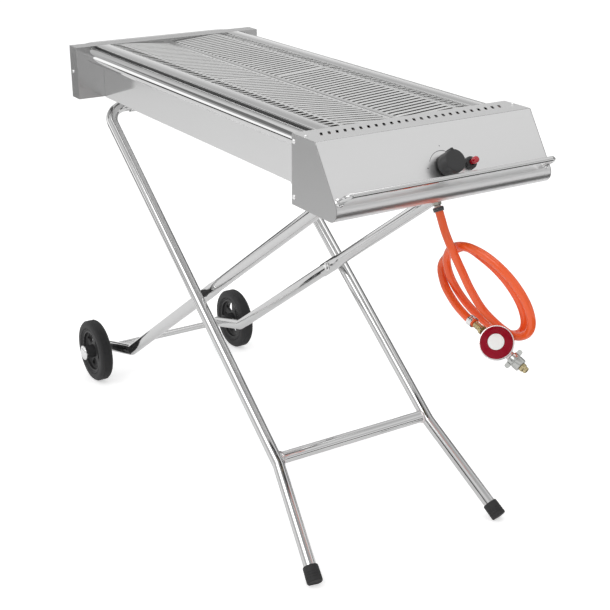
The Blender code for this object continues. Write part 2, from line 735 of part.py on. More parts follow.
def make_wheels(rubber, plastic, chrome):
    bore = AXLE_R + GAP
    for name, side in SIDES.items():
        centre = (AXLE_X, side * WHEEL_CENTRE_Y, WHEEL_R)
        axis = (0, side, 0)
        edge = TYRE_HALF_W
        tyre = [
            (RIM_R + GAP, -edge * 0.75),
            (RIM_R + 0.012, -edge),
            (WHEEL_R - 0.006, -edge),
            (WHEEL_R, -edge * 0.6),
            (WHEEL_R, edge * 0.6),
            (WHEEL_R - 0.006, edge),
            (RIM_R + 0.012, edge),
            (RIM_R + GAP, edge * 0.75),
        ]
        add_piece(f"tyre_{name}", lathe(tyre, centre, axis, 36, closed=True), rubber)
        inner = HUB_Y[0] - WHEEL_CENTRE_Y
        outer = HUB_Y[1] - WHEEL_CENTRE_Y
        web = 0.0030
        hub = [
            (bore, inner),
            (HUB_R * 0.85, inner),
            (HUB_R, -web),
            (RIM_R - 0.006, -web),
            (RIM_R - 0.003, -edge * 0.75),
            (RIM_R, -edge * 0.75),
            (RIM_R, edge * 0.75),
            (RIM_R - 0.003, edge * 0.75),
            (RIM_R - 0.006, web),
            (HUB_R, web),
            (HUB_R * 0.95, outer),
            (bore, outer),
        ]
        wheel = add_piece(f"wheel_hub_{name}", lathe(hub, centre, axis, 36, closed=True), plastic)
        for k in range(5):
            turn = 2 * math.pi * (k + 0.5) / 5
            radius = (RIM_R + HUB_R) / 2 - 0.001
            x = AXLE_X + radius * math.sin(turn)
            z = WHEEL_R + radius * math.cos(turn)
            low, high = ((x, side * (WHEEL_CENTRE_Y + reach), z) for reach in (-0.02, 0.02))
            apply_boolean(wheel, rod(low, high, 0.0095, 12))
        cap_start = side * (HUB_Y[1] + GAP)
        cap = [
            (0.0, AXLE_HALF_LEN - HUB_Y[1]),
            (bore, AXLE_HALF_LEN - HUB_Y[1]),
            (bore, 0.0),
            (HUB_CAP_R, 0.0),
            (HUB_CAP_R, 0.0035),
            (HUB_CAP_R * 0.8, 0.0062),
            (HUB_CAP_R * 0.4, 0.0074),
            (0.0, 0.0078),
        ]
        add_piece(f"hub_cap_{name}", lathe(cap, (AXLE_X, cap_start, WHEEL_R), axis, 24), chrome)


def make_pivot_bolts(steel):
    """Scissor bolts: a head inside the wheel leg, a shoulder between the tubes."""
    flat = ARM_HALF_Y + 0.0006
    for name, side in SIDES.items():
        origin = (PIVOT_X, side * WHEEL_Y, PIVOT_Z)
        profile = [
            (0.0, -flat - 0.0053),
            (0.0070, -flat - 0.0053),
            (0.0070, -flat - GAP),
            (0.0040, -flat - GAP),
            (0.0040, flat + GAP),
            (0.0080, flat + GAP),
            (0.0080, FOOT_Y - WHEEL_Y - TUBE_R - GAP),
            (0.0040, FOOT_Y - WHEEL_Y - TUBE_R - GAP),
            (0.0040, FOOT_Y - WHEEL_Y - 0.004),
            (0.0, FOOT_Y - WHEEL_Y - 0.004),
        ]
        add_piece(f"scissor_bolt_{name}", lathe(profile, origin, (0, side, 0), 16), steel)


def make_hinge_saddles(steel):
    """Saddle clamps that hold the foot frame's cross tube below the trough."""
    pad_top = TROUGH_BOTTOM_Z - GAP
    for name, side in SIDES.items():
        ends = sorted((side * 0.0950, side * 0.1250))
        body = box((REAR_HINGE_X - 0.0300, ends[0], pad_top - 0.0022), (REAR_HINGE_X + 0.0300, ends[1], pad_top))
        saddle = add_piece(f"hinge_saddle_{name}", body, steel)
        strap = rod((REAR_HINGE_X, ends[0], FOLD_Z), (REAR_HINGE_X, ends[1], FOLD_Z), TUBE_R + 0.0030, 24)
        apply_boolean(saddle, strap, "UNION")
        hole_ends = [(REAR_HINGE_X, y, FOLD_Z) for y in (ends[0] - 0.01, ends[1] + 0.01)]
        apply_boolean(saddle, rod(*hole_ends, TUBE_R + 0.0005, 24))


def make_catches(steel):
    """Slotted plates under the front of the trough that take the wheel frame's pins."""
    pad_top = TROUGH_BOTTOM_Z - GAP
    for name, side in SIDES.items():
        plate_y = sorted((side * 0.1672, side * 0.1692))
        body = box((CATCH_X - 0.0220, plate_y[0], FOLD_Z - 0.0160), (WALL_X - GAP, plate_y[1], pad_top))
        catch = add_piece(f"front_catch_{name}", body, steel)
        low = (CATCH_X - 0.0065, plate_y[0] - 0.01, FOLD_Z - 0.0065)
        high = (CATCH_X + 0.0300, plate_y[1] + 0.01, FOLD_Z + 0.0065)
        apply_boolean(catch, box(low, high))
        start = side * (WHEEL_Y + TUBE_R + GAP)
        end = side * 0.1735
        pin = rod((CATCH_X, start, FOLD_Z), (CATCH_X, end, FOLD_Z), 0.0045, 14)
        add_piece(f"catch_pin_{name}", pin, steel)


# --- hose and regulator ---------------------------------------------------------------------

def coil_point(degrees):
    """A point on the coil. Each full turn moves it by COIL_DRIFT."""
    turn = math.radians(degrees)
    turns = (78 - degrees) / 360
    along = COIL_LONG * (COIL_RADII[0] * math.cos(turn))
    across = COIL_SHORT * (COIL_RADII[1] * math.sin(turn))
    return COIL_CENTRE + along + across + COIL_DRIFT * turns


def hose_route():
    start = [INLET_END + INLET_DIR * reach for reach in (0.0, 0.022, 0.046)]
    coil = [coil_point(degrees) for degrees in range(*COIL_DEGREES)]
    return start + [Vector(p) for p in LEAD_IN] + coil + [Vector(p) for p in TAIL_OUT]


def smooth_line(points, steps):
    """A smooth curve through the points, by Catmull-Rom interpolation."""
    padded = [points[0] * 2 - points[1]] + points + [points[-1] * 2 - points[-2]]
    line = []
    for a, b, c, d in zip(padded, padded[1:], padded[2:], padded[3:]):
        for k in range(steps):
            t = k / steps
            linear = (c - a) * t
            square = (a * 2 - b * 5 + c * 4 - d) * t ** 2
            cube = (b * 3 - a - c * 3 + d) * t ** 3
            line.append((b * 2 + linear + square + cube) / 2)
    line.append(points[-1])
    return line


def make_hose(orange):
    curve = bpy.data.curves.new("gas_hose", "CURVE")
    curve.dimensions = "3D"
    curve.bevel_depth = HOSE_R
    curve.bevel_resolution = 2
    curve.use_fill_caps = True
    line = smooth_line(hose_route(), 2)
    spline = curve.splines.new("POLY")
    spline.points.add(len(line) - 1)
    for point, place in zip(spline.points, line):
        point.co = (*place, 1.0)
    curve.materials.append(orange)
    obj = bpy.data.objects.new("gas_hose", curve)
    bpy.context.scene.collection.objects.link(obj)


def clamp_ring(length):
    inner = HOSE_R + 0.0008
    outer = HOSE_R + 0.0024
    return [(inner, 0.0), (outer, 0.0), (outer, length), (inner, length)]


def make_inlet(brass, steel):
    stub = [
        (0.0, GAP),
        (0.0062, GAP),
        (0.0062, 0.0030),
        (0.0085, 0.0030),
        (0.0085, 0.0120),
        (0.0055, 0.0120),
        (0.0055, 0.0420),
        (0.0, 0.0420),
    ]
    add_piece("hose_inlet", lathe(stub, INLET_END, -INLET_DIR, 12), brass)
    ring_start = INLET_END + INLET_DIR * 0.0010
    add_piece("hose_clamp_inlet", lathe(clamp_ring(0.0065), ring_start, INLET_DIR, 20, closed=True), steel)


def make_regulator(brass, steel, zinc, red, white):
    hose_end, before = hose_route()[-1], hose_route()[-2]
    run = (hose_end - before).normalized()
    ring_start = hose_end - run * 0.0130
    ring = lathe(clamp_ring(0.0090), ring_start, run, 20, closed=True)
    add_piece("hose_clamp_regulator", ring, steel)

    bore = REG_CENTRE - REG_FACE * REG_BORE_DEPTH
    port_in = bore + REG_AXIS * REG_PORT[0]
    reach = (port_in - hose_end).normalized()
    add_piece("regulator_tail", rod(hose_end + reach * 0.0010, port_in - reach * 0.0035, 0.0050, 12), brass)

    casting = [
        (0.0, -0.0150),
        (0.0170, -0.0150),
        (0.0220, -0.0110),
        (0.0285, -0.0040),
        (REG_R, -0.0020),
        (REG_R, 0.0012),
        (0.0, 0.0012),
    ]
    body = add_piece("regulator_body", lathe(casting, REG_CENTRE, REG_FACE, 32), zinc)
    port_out = bore + REG_AXIS * REG_PORT[1]
    apply_boolean(body, rod(port_in, port_out, 0.0078, 16), "UNION")
    dome = [
        (0.0, 0.0015),
        (0.0275, 0.0015),
        (0.0275, 0.0040),
        (0.0250, 0.0080),
        (0.0200, 0.0105),
        (0.0148, 0.0120),
        (0.0148, 0.0110),
        (0.0, 0.0110),
    ]
    add_piece("regulator_cap", lathe(dome, REG_CENTRE, REG_FACE, 32), red)
    disc = [(0.0, 0.0113), (0.0143, 0.0113), (0.0143, 0.0125), (0.0, 0.0127)]
    add_piece("regulator_disc", lathe(disc, REG_CENTRE, REG_FACE, 24), white)

    nut_start = port_out + REG_AXIS * GAP
    nut = [(0.0, 0.0), (0.0110, 0.0), (0.0120, 0.0015), (0.0120, 0.0225), (0.0105, 0.0240), (0.0, 0.0240)]
    nut_piece = add_piece("regulator_nut", lathe(nut, nut_start, REG_AXIS, 12), steel)
    wing = box((-0.0030, -0.0200, 0.0010), (0.0030, 0.0200, 0.0100))
    across = REG_AXIS.cross(REG_FACE)
    turn = Matrix((REG_FACE, across, REG_AXIS)).transposed().to_4x4()
    wing.transform(Matrix.Translation(nut_start) @ turn)
    apply_boolean(nut_piece, wing, "UNION")
    spigot_start = nut_start + REG_AXIS * (0.0240 + GAP)
    spigot = [(0.0, 0.0), (0.0075, 0.0), (0.0075, 0.0060), (0.0060, 0.0090), (0.0055, 0.0125), (0.0, 0.0130)]
    add_piece("regulator_spigot", lathe(spigot, spigot_start, REG_AXIS, 16), brass)


def build():
    clear_scene()
    steel = make_material("brushed_stainless", (0.72, 0.72, 0.73), 0.30, 1.0)
    tube = make_material("polished_tube", (0.75, 0.75, 0.76), 0.15, 1.0)
    bright = make_material("bright_fastener", (0.80, 0.80, 0.80), 0.12, 1.0)
    brass = make_material("brass", (0.72, 0.55, 0.28), 0.30, 1.0)
    zinc = make_material("cast_zinc", (0.66, 0.66, 0.66), 0.40, 1.0)
    black = make_material("black_plastic", (0.03, 0.03, 0.03), 0.45, 0.0)
    rubber = make_material("black_rubber", (0.02, 0.02, 0.02), 0.75, 0.0)
    red = make_material("red_plastic", (0.55, 0.02, 0.03), 0.30, 0.0)
    dark_red = make_material("dark_red_paint", (0.30, 0.01, 0.03), 0.35, 0.0)
    orange = make_material("orange_hose", (0.85, 0.16, 0.04), 0.45, 0.0)
    white = make_material("white_label", (0.85, 0.85, 0.84), 0.50, 0.0)
    ceramic = make_material("ceramic", (0.85, 0.84, 0.80), 0.40, 0.0)

    make_trough(steel)
    make_rear_end_plate(steel)
    make_front_wall(steel)
    make_control_cover(steel)
    make_side_covers(steel)
    make_rail_loop(tube)
    make_front_handle(tube)
    make_cooking_grids(steel)
    make_burners(steel)
    make_heat_plates(steel)
    make_fat_tray(steel)
    make_gas_manifold(brass)
    make_valve_and_knob(brass, bright, black)
    make_igniter(black, red, ceramic)
    make_foot_frame(tube)
    make_crossbar(tube)
    make_foot_caps(rubber)
    make_wheel_legs(tube)
    make_wheel_arms(tube)
    make_axle(bright)
    make_wheels(rubber, black, bright)
    make_pivot_bolts(bright)
    make_hinge_saddles(steel)
    make_catches(steel)
    make_inlet(brass, bright)
    make_hose(orange)
    make_regulator(brass, bright, zinc, dark_red, white)


build()
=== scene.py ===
"""Looks of the folding gas chargrill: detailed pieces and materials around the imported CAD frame."""
import math

import bmesh
import bpy
from mathutils import Matrix, Vector


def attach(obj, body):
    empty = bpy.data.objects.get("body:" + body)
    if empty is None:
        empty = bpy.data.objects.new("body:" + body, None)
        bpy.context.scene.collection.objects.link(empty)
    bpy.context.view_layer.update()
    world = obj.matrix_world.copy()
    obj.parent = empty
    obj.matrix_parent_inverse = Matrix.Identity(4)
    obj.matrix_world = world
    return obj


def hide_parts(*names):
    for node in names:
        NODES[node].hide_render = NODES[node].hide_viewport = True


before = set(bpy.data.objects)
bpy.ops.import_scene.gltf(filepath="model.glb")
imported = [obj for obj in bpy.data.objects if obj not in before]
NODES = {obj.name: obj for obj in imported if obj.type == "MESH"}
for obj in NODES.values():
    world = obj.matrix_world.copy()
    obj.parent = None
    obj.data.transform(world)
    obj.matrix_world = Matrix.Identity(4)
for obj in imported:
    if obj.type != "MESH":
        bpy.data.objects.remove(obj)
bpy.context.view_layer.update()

SIDES = {"near": -1, "far": 1}
SCENE = bpy.context.scene
BOX = "grill_body"

# ---- sizes shared with the CAD model
GAP = 0.0003
TOP_Z = 0.856
TROUGH_BOTTOM_Z = 0.7362
TROUGH_HALF_W = 0.1695
TROUGH_X = (-0.459, 0.4597)
LIP_OUT_Y = 0.1836
LIP_IN_Y = 0.1515
LIP_DEPTH = 0.009
LEDGE_IN_Y = 0.137
LEDGE_DROP = 0.0045
SHEET = 0.0012
BOX_HALF_W = 0.23
BOX_REAR_X = 0.46
BOX_TOP_DEPTH = 0.071
PANEL_RUN = 0.063
PANEL_DROP = 0.094
NOSE_R = 0.019
NOSE_RETURN = 0.012
VENT_COUNT = 25
VENT_SPAN_Y = 0.3826
VENT_SIZE = (0.018, 0.0054)
VENT_SKEW = 0.009
VENT_X = 0.491
RAIL_Y = 0.199
RAIL_Z = 0.836
RAIL_R = 0.015
RAIL_LOOP_X = -0.534
RAIL_BEND = 0.045
WALL_X = 0.4603
HANDLE_HALF_W = 0.2195
HANDLE_R = 0.005
HANDLE_ALONG = 0.107
HANDLE_STANDOFF = 0.03
HANDLE_BEND = 0.011
GRID_SPLIT_X = 0.011
GRID_ENDS_X = (-0.4585, 0.459)
GRID_SLOTS = 27
GRID_THICK = 0.0022
GRID_OUT_Y = 0.1509
GRID_BEND_Y = 0.1235
GRID_IN_Y = 0.0008
GRID_VALLEY_DROP = 0.008
KNOB_AT = (0.009, 0.0785)
KNOB_R = 0.021
KNOB_BASE = 0.0042
KNOB_TOP = 0.03
SPINDLE_R = 0.004
IGNITER_AT = (0.058, 0.081)
IGNITER_COLLAR_R = 0.0115
BUTTON_R = 0.005
TUBE_R = 0.0127
TUBE_WALL = 0.0015
FOLD_Z = 0.7185
REAR_HINGE_X = -0.43
CATCH_X = 0.452
FOOT_Y = 0.1836
FOOT_SPLAY_Y = 0.2256
FOOT_X = 0.539
KINK_X = 0.3312
CROSSBAR_X = 0.321
FOOT_BEND = 0.05
FOOT_CAP_R = 0.0158
FOOT_CAP_LEN = 0.033
FOOT_CAP_FLOOR = 0.007
FOOT_END_Z = 0.0085
WHEEL_Y = 0.1534
ARM_BEND = (-0.427, 0.1105)
ARM_HALF_Y = 0.009
ARM_HALF_H = 0.013
FLAT_END = 0.034
FLAT_HALF_H = 0.015
AXLE_X = -0.5453
WHEEL_R = 0.077
WHEEL_CENTRE_Y = 0.2008
TYRE_HALF_W = 0.0162
RIM_R = 0.052
HUB_R = 0.0165
HUB_Y = (0.167, 0.23)
AXLE_R = 0.006
HUB_CAP_R = 0.0185
HOSE_R = 0.0075
INLET_END = Vector((0.556, 0.0085, 0.7137))
INLET_DIR = Vector((0.4, 0.09, -0.91)).normalized()
LEAD_IN = [
    (0.5932, 0.0139, 0.6461), (0.6076, 0.0255, 0.6095), (0.6185, 0.0425, 0.5685),
    (0.6329, 0.0663, 0.5265),
]
COIL_CENTRE = Vector((0.6582, 0.053, 0.5806))
COIL_LONG = Vector((0.7232, 0.3161, -0.6141)).normalized()
COIL_SHORT = Vector((-0.673, 0.12, -0.73)).normalized()
COIL_RADII = (0.0978, 0.0709)
COIL_DRIFT = Vector((-0.0368, 0.0181, -0.0143))
COIL_DEGREES = (40, -530, -30)
TAIL_OUT = [
    (0.5202, 0.0536, 0.5922), (0.5326, 0.0479, 0.5585), (0.5679, 0.0445, 0.5331),
    (0.604, 0.0438, 0.5176), (0.6281, 0.0451, 0.5114),
]
REG_CENTRE = Vector((0.683, 0.05, 0.493))
REG_AXIS = Vector((0.8037, 0.3076, -0.5096)).normalized()
REG_FACE = Vector((0.575, -0.62, 0.534)).normalized()
REG_BORE_DEPTH = 0.0078
REG_PORT = (-0.032, 0.034)
REG_R = 0.0295
NUT_LEN = 0.024
SCREW_R = 0.0046
CUT_REACH = 0.005           # how far a cutter stands out on each side of a sheet


def add_object(name, data):
    obj = bpy.data.objects.new(name, data)
    SCENE.collection.objects.link(obj)
    return obj


# ---- camera
def make_camera():
    cam_data = bpy.data.cameras.new("camera")
    cam_data.sensor_width = 36.0
    cam_data.lens = 74.2
    cam_data.clip_end = 50.0
    cam = add_object("camera", cam_data)
    forward = Vector((-0.7873, 0.4917, -0.372)).normalized()
    right = Vector((0.53, 0.848, 0.0)).normalized()
    up = right.cross(forward)
    turn = Matrix((right, up, -forward)).transposed().to_4x4()
    cam.matrix_world = Matrix.Translation((2.2079, -1.2958, 1.3685)) @ turn
    SCENE.camera = cam


make_camera()


# ---- mesh helpers
def add_piece(name, bm, kind, body, replaced=(), smooth_deg=40.0, bevel=0.0):
    """Put a finished bmesh in the scene as a piece of one MATS kind that rides on a CAD body."""
    bmesh.ops.recalc_face_normals(bm, faces=bm.faces)
    mesh = bpy.data.meshes.new(name)
    bm.to_mesh(mesh)
    bm.free()
    mesh.materials.append(MATS[kind])
    mesh.shade_smooth()
    mesh.set_sharp_from_angle(angle=math.radians(smooth_deg))
    obj = add_object(name, mesh)
    if bevel:
        add_bevel(obj, bevel)
    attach(obj, body)
    if replaced:
        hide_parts(*replaced)
    return obj


def add_bevel(obj, width, segments=2):
    modifier = obj.modifiers.new("edge", "BEVEL")
    modifier.width = width
    modifier.segments = segments
    modifier.limit_method = "ANGLE"
    modifier.angle_limit = math.radians(40)
    modifier.harden_normals = True


def cut(obj, bm, operation="DIFFERENCE"):
    """Apply a Boolean with a bmesh at once, so that no cutter is left in the scene."""
    bmesh.ops.recalc_face_normals(bm, faces=bm.faces)
    mesh = bpy.data.meshes.new("cutter")
    bm.to_mesh(mesh)
    bm.free()
    cutter = add_object("cutter", mesh)
    modifier = obj.modifiers.new("cut", "BOOLEAN")
    modifier.operation = operation
    modifier.solver = "EXACT"
    modifier.object = cutter
    bpy.context.view_layer.update()
    graph = bpy.context.evaluated_depsgraph_get()
    result = bpy.data.meshes.new_from_object(obj.evaluated_get(graph))
    obj.modifiers.remove(modifier)
    old = obj.data
    obj.data = result
    obj.data.name = old.name
    bpy.data.meshes.remove(old)
    bpy.data.objects.remove(cutter)
    bpy.data.meshes.remove(mesh)


def add_box(bm, low, high):
    size = [b - a for a, b in zip(low, high)]
    middle = [(a + b) / 2 for a, b in zip(low, high)]
    bmesh.ops.create_cube(bm, size=1.0, matrix=Matrix.Translation(middle) @ Matrix.Diagonal((*size, 1.0)))


def prism(outline, axis, low, high, bm=None):
    """Extrude a closed 2-D outline along X, Y or Z; its two numbers are the other axes in order."""
    place = {
        "X": lambda a, b, c: (c, a, b),
        "Y": lambda a, b, c: (a, c, b),
        "Z": lambda a, b, c: (a, b, c),
    }[axis]
    bm = bm or bmesh.new()
    ends = [[bm.verts.new(place(a, b, c)) for a, b in outline] for c in (low, high)]
    bm.faces.new(ends[0])
    bm.faces.new(ends[1][::-1])
    for i in range(len(outline)):
        j = (i + 1) % len(outline)
        bm.faces.new((ends[0][i], ends[0][j], ends[1][j], ends[1][i]))
    return bm


def folded_sheet(path, thickness):
    """Outline of a bent sheet: the path, then the same path moved to its left by the thickness."""
    points = [Vector(p) for p in path]
    lefts = []
    for a, b in zip(points, points[1:]):
        run = (b - a).normalized()
        lefts.append(Vector((-run.y, run.x)))
    inner = []
    for i, point in enumerate(points):
        before = lefts[max(i - 1, 0)]
        after = lefts[min(i, len(lefts) - 1)]
        mitre = (before + after).normalized()
        inner.append(point + mitre * (thickness / mitre.dot(after)))
    return [tuple(p) for p in points + inner[::-1]]


def round_corners(points, radius, steps):
    """Replace each inner corner of a path with an arc. radius is one number or one per corner."""
    points = [Vector(p) for p in points]
    radii = radius if isinstance(radius, (list, tuple)) else [radius] * (len(points) - 2)
    path = [points[0]]
    for before, corner, after, r in zip(points, points[1:], points[2:], radii):
        into = (before - corner).normalized()
        out = (after - corner).normalized()
        half = into.angle(out) / 2
        centre = corner + (into + out).normalized() * (r / math.sin(half))
        start = corner + into * (r / math.tan(half)) - centre
        end = corner + out * (r / math.tan(half)) - centre
        turn = start.angle(end)
        for k in range(steps + 1):
            part = k / steps
            blend = start * math.sin((1 - part) * turn) + end * math.sin(part * turn)
            path.append(centre + blend / math.sin(turn))
    path.append(points[-1])
    return path


def round_2d(points, radius, steps=4):
    return [(p.x, p.y) for p in round_corners([(a, b, 0.0) for a, b in points], radius, steps)]


def ring_frames(path):
    runs = [(b - a).normalized() for a, b in zip(path, path[1:])]
    tangents = [runs[0]]
    tangents += [(a + b).normalized() for a, b in zip(runs, runs[1:])]
    tangents.append(runs[-1])
    side = tangents[0].orthogonal().normalized()
    if abs(tangents[0].y) < 0.9:
        side = (Vector((0, 1, 0)) - tangents[0] * tangents[0].y).normalized()
    frames = []
    for index, tangent in enumerate(tangents):
        side = (side - tangent * side.dot(tangent)).normalized()
        stretch = 1.0
        if 0 < index < len(path) - 1:
            stretch = 1.0 / max(runs[index].dot(tangent), 0.5)
        frames.append((side.copy(), tangent.cross(side), stretch))
    return frames


def sweep(path, half_widths, sides, wall=0.0, bm=None, power=1.0):
    """A rod along a path, or an open tube when it has a wall. power under 1 squares the section."""
    path = [Vector(p) for p in path]
    if isinstance(half_widths, float):
        half_widths = [(half_widths, half_widths)] * len(path)
    bm = bm or bmesh.new()
    frames = ring_frames(path)
    built = []
    for inset in ([0.0, wall] if wall else [0.0]):
        rings = []
        for point, (side, up, stretch), (across, tall) in zip(path, frames, half_widths):
            ring = []
            for k in range(sides):
                turn = 2 * math.pi * (k + 0.5) / sides
                c, s = math.cos(turn), math.sin(turn)
                c = math.copysign(abs(c) ** power, c)
                s = math.copysign(abs(s) ** power, s)
                offset = side * (across - inset) * c + up * (tall - inset) * stretch * s
                ring.append(bm.verts.new(point + offset))
            rings.append(ring)
        for low, high in zip(rings, rings[1:]):
            for i in range(sides):
                j = (i + 1) % sides
                bm.faces.new((low[i], low[j], high[j], high[i]))
        built.append(rings)
    for end in (0, -1):
        if wall:
            outer, inner = built[0][end], built[1][end]
            for i in range(sides):
                j = (i + 1) % sides
                bm.faces.new((outer[i], outer[j], inner[j], inner[i]))
        else:
            bm.faces.new(built[0][end])
    return bm


def lathe(profile, origin, axis, sides, closed=False, bm=None):
    """Turn (radius, height) points about an axis. A closed profile makes a ring."""
    axis = Vector(axis).normalized()
    side = axis.orthogonal().normalized()
    if abs(axis.z) < 0.9:
        side = (Vector((0, 0, -1)) + axis * axis.z).normalized()
    other = axis.cross(side)
    origin = Vector(origin)
    bm = bm or bmesh.new()
    turns = [2 * math.pi * k / sides for k in range(sides)]
    rings = []
    for radius, height in profile:
        centre = origin + axis * height
        if radius == 0.0:
            rings.append([bm.verts.new(centre)])
            continue
        rings.append(
            [bm.verts.new(centre + (side * math.cos(t) + other * math.sin(t)) * radius) for t in turns]
        )
    pairs = list(zip(rings, rings[1:]))
    if closed:
        pairs.append((rings[-1], rings[0]))
    for low, high in pairs:
        for i in range(sides):
            j = (i + 1) % sides
            corners = (low[i % len(low)], low[j % len(low)], high[j % len(high)], high[i % len(high)])
            unique = list(dict.fromkeys(corners))
            if len(unique) > 2:
                bm.faces.new(unique)
    return bm


def add_turned(name, profile, at, axis, sides, *args, closed=False):
    """A lathe-turned piece; args are those of add_piece after its mesh."""
    return add_piece(name, lathe(profile, at, axis, sides, closed), *args)


def placed(bm, origin, x_axis, y_axis, z_axis):
    """Move a bmesh built about zero to an origin with the given axes."""
    turn = Matrix((x_axis, y_axis, z_axis)).transposed().to_4x4()
    bm.transform(Matrix.Translation(origin) @ turn)
    return bm


# ---- materials
def new_material(name):
    mat = bpy.data.materials.new(name)
    mat.use_nodes = True
    nodes = mat.node_tree.nodes
    return mat, nodes, mat.node_tree.links, nodes["Principled BSDF"]


def add_node(nodes, kind, **settings):
    node = nodes.new(kind)
    for key, value in settings.items():
        if hasattr(node, key):
            setattr(node, key, value)
        else:
            node.inputs[key.replace("_", " ")].default_value = value
    return node


def ramp_between(nodes, links, source, low, high, from_low=0.0, from_high=1.0):
    """Map a value from one range to another."""
    node = nodes.new("ShaderNodeMapRange")
    node.inputs["From Min"].default_value = from_low
    node.inputs["From Max"].default_value = from_high
    node.inputs["To Min"].default_value = low
    node.inputs["To Max"].default_value = high
    links.new(source, node.inputs["Value"])
    return node.outputs["Result"]


def tint_and_bump(mat, blend, color, spread, height, depth):
    """Spread the base colour round one value and, if it has a depth, add a fine bump."""
    nodes, links = mat.node_tree.nodes, mat.node_tree.links
    shader = nodes["Principled BSDF"]
    tint = nodes.new("ShaderNodeMix")
    tint.data_type = "RGBA"
    tint.inputs[6].default_value = (*[c * (1 - spread) for c in color], 1.0)
    tint.inputs[7].default_value = (*[min(c * (1 + spread), 1.0) for c in color], 1.0)
    links.new(blend, tint.inputs[0])
    links.new(tint.outputs[2], shader.inputs["Base Color"])
    if depth:
        bump = nodes.new("ShaderNodeBump")
        bump.inputs["Strength"].default_value = 1.0
        bump.inputs["Distance"].default_value = depth
        links.new(height, bump.inputs["Height"])
        links.new(bump.outputs["Normal"], shader.inputs["Normal"])


def grey(value):
    return (value, value, value)


def metal(name, color, rough, grain=(1.0, 1.0, 1.0), grain_depth=0.0, cloud=0.05, vary=0.15):
    """Metal whose roughness and colour vary a little; grain stretches its brush marks."""
    mat, nodes, links, shader = new_material(name)
    shader.inputs["Metallic"].default_value = 1.0
    coords = nodes.new("ShaderNodeTexCoord")
    mapping = nodes.new("ShaderNodeMapping")
    mapping.inputs["Scale"].default_value = grain
    links.new(coords.outputs["Object"], mapping.inputs["Vector"])
    fine = add_node(nodes, "ShaderNodeTexNoise", Scale=1.0, Detail=3.0, Roughness=0.6)
    links.new(mapping.outputs["Vector"], fine.inputs["Vector"])
    broad = add_node(nodes, "ShaderNodeTexNoise", Scale=9.0, Detail=2.0)
    links.new(coords.outputs["Object"], broad.inputs["Vector"])
    mix = nodes.new("ShaderNodeMath")
    mix.operation = "ADD"
    links.new(fine.outputs["Fac"], mix.inputs[0])
    links.new(broad.outputs["Fac"], mix.inputs[1])
    rough_ends = (rough * (1 - vary), rough * (1 + vary))
    rough_value = ramp_between(nodes, links, mix.outputs[0], *rough_ends, 0.6, 1.4)
    links.new(rough_value, shader.inputs["Roughness"])
    blend = ramp_between(nodes, links, mix.outputs[0], 0.0, 1.0, 0.7, 1.3)
    tint_and_bump(mat, blend, color, cloud, fine.outputs["Fac"], grain_depth)
    return mat


def plastic(name, color, rough, bump_scale=900.0, bump_depth=0.00005, coat=0.0, vary=0.12, specular=0.5):
    mat, nodes, links, shader = new_material(name)
    shader.inputs["Specular IOR Level"].default_value = specular
    shader.inputs["Coat Weight"].default_value = coat
    coords = nodes.new("ShaderNodeTexCoord")
    broad = add_node(nodes, "ShaderNodeTexNoise", Scale=40.0, Detail=3.0)
    fine = add_node(nodes, "ShaderNodeTexNoise", Scale=bump_scale, Detail=2.0)
    for noise in (broad, fine):
        links.new(coords.outputs["Object"], noise.inputs["Vector"])
    rough_value = ramp_between(nodes, links, broad.outputs["Fac"], rough * 0.85, rough * 1.15)
    links.new(rough_value, shader.inputs["Roughness"])
    tint_and_bump(mat, broad.outputs["Fac"], color, vary, fine.outputs["Fac"], bump_depth)
    return mat


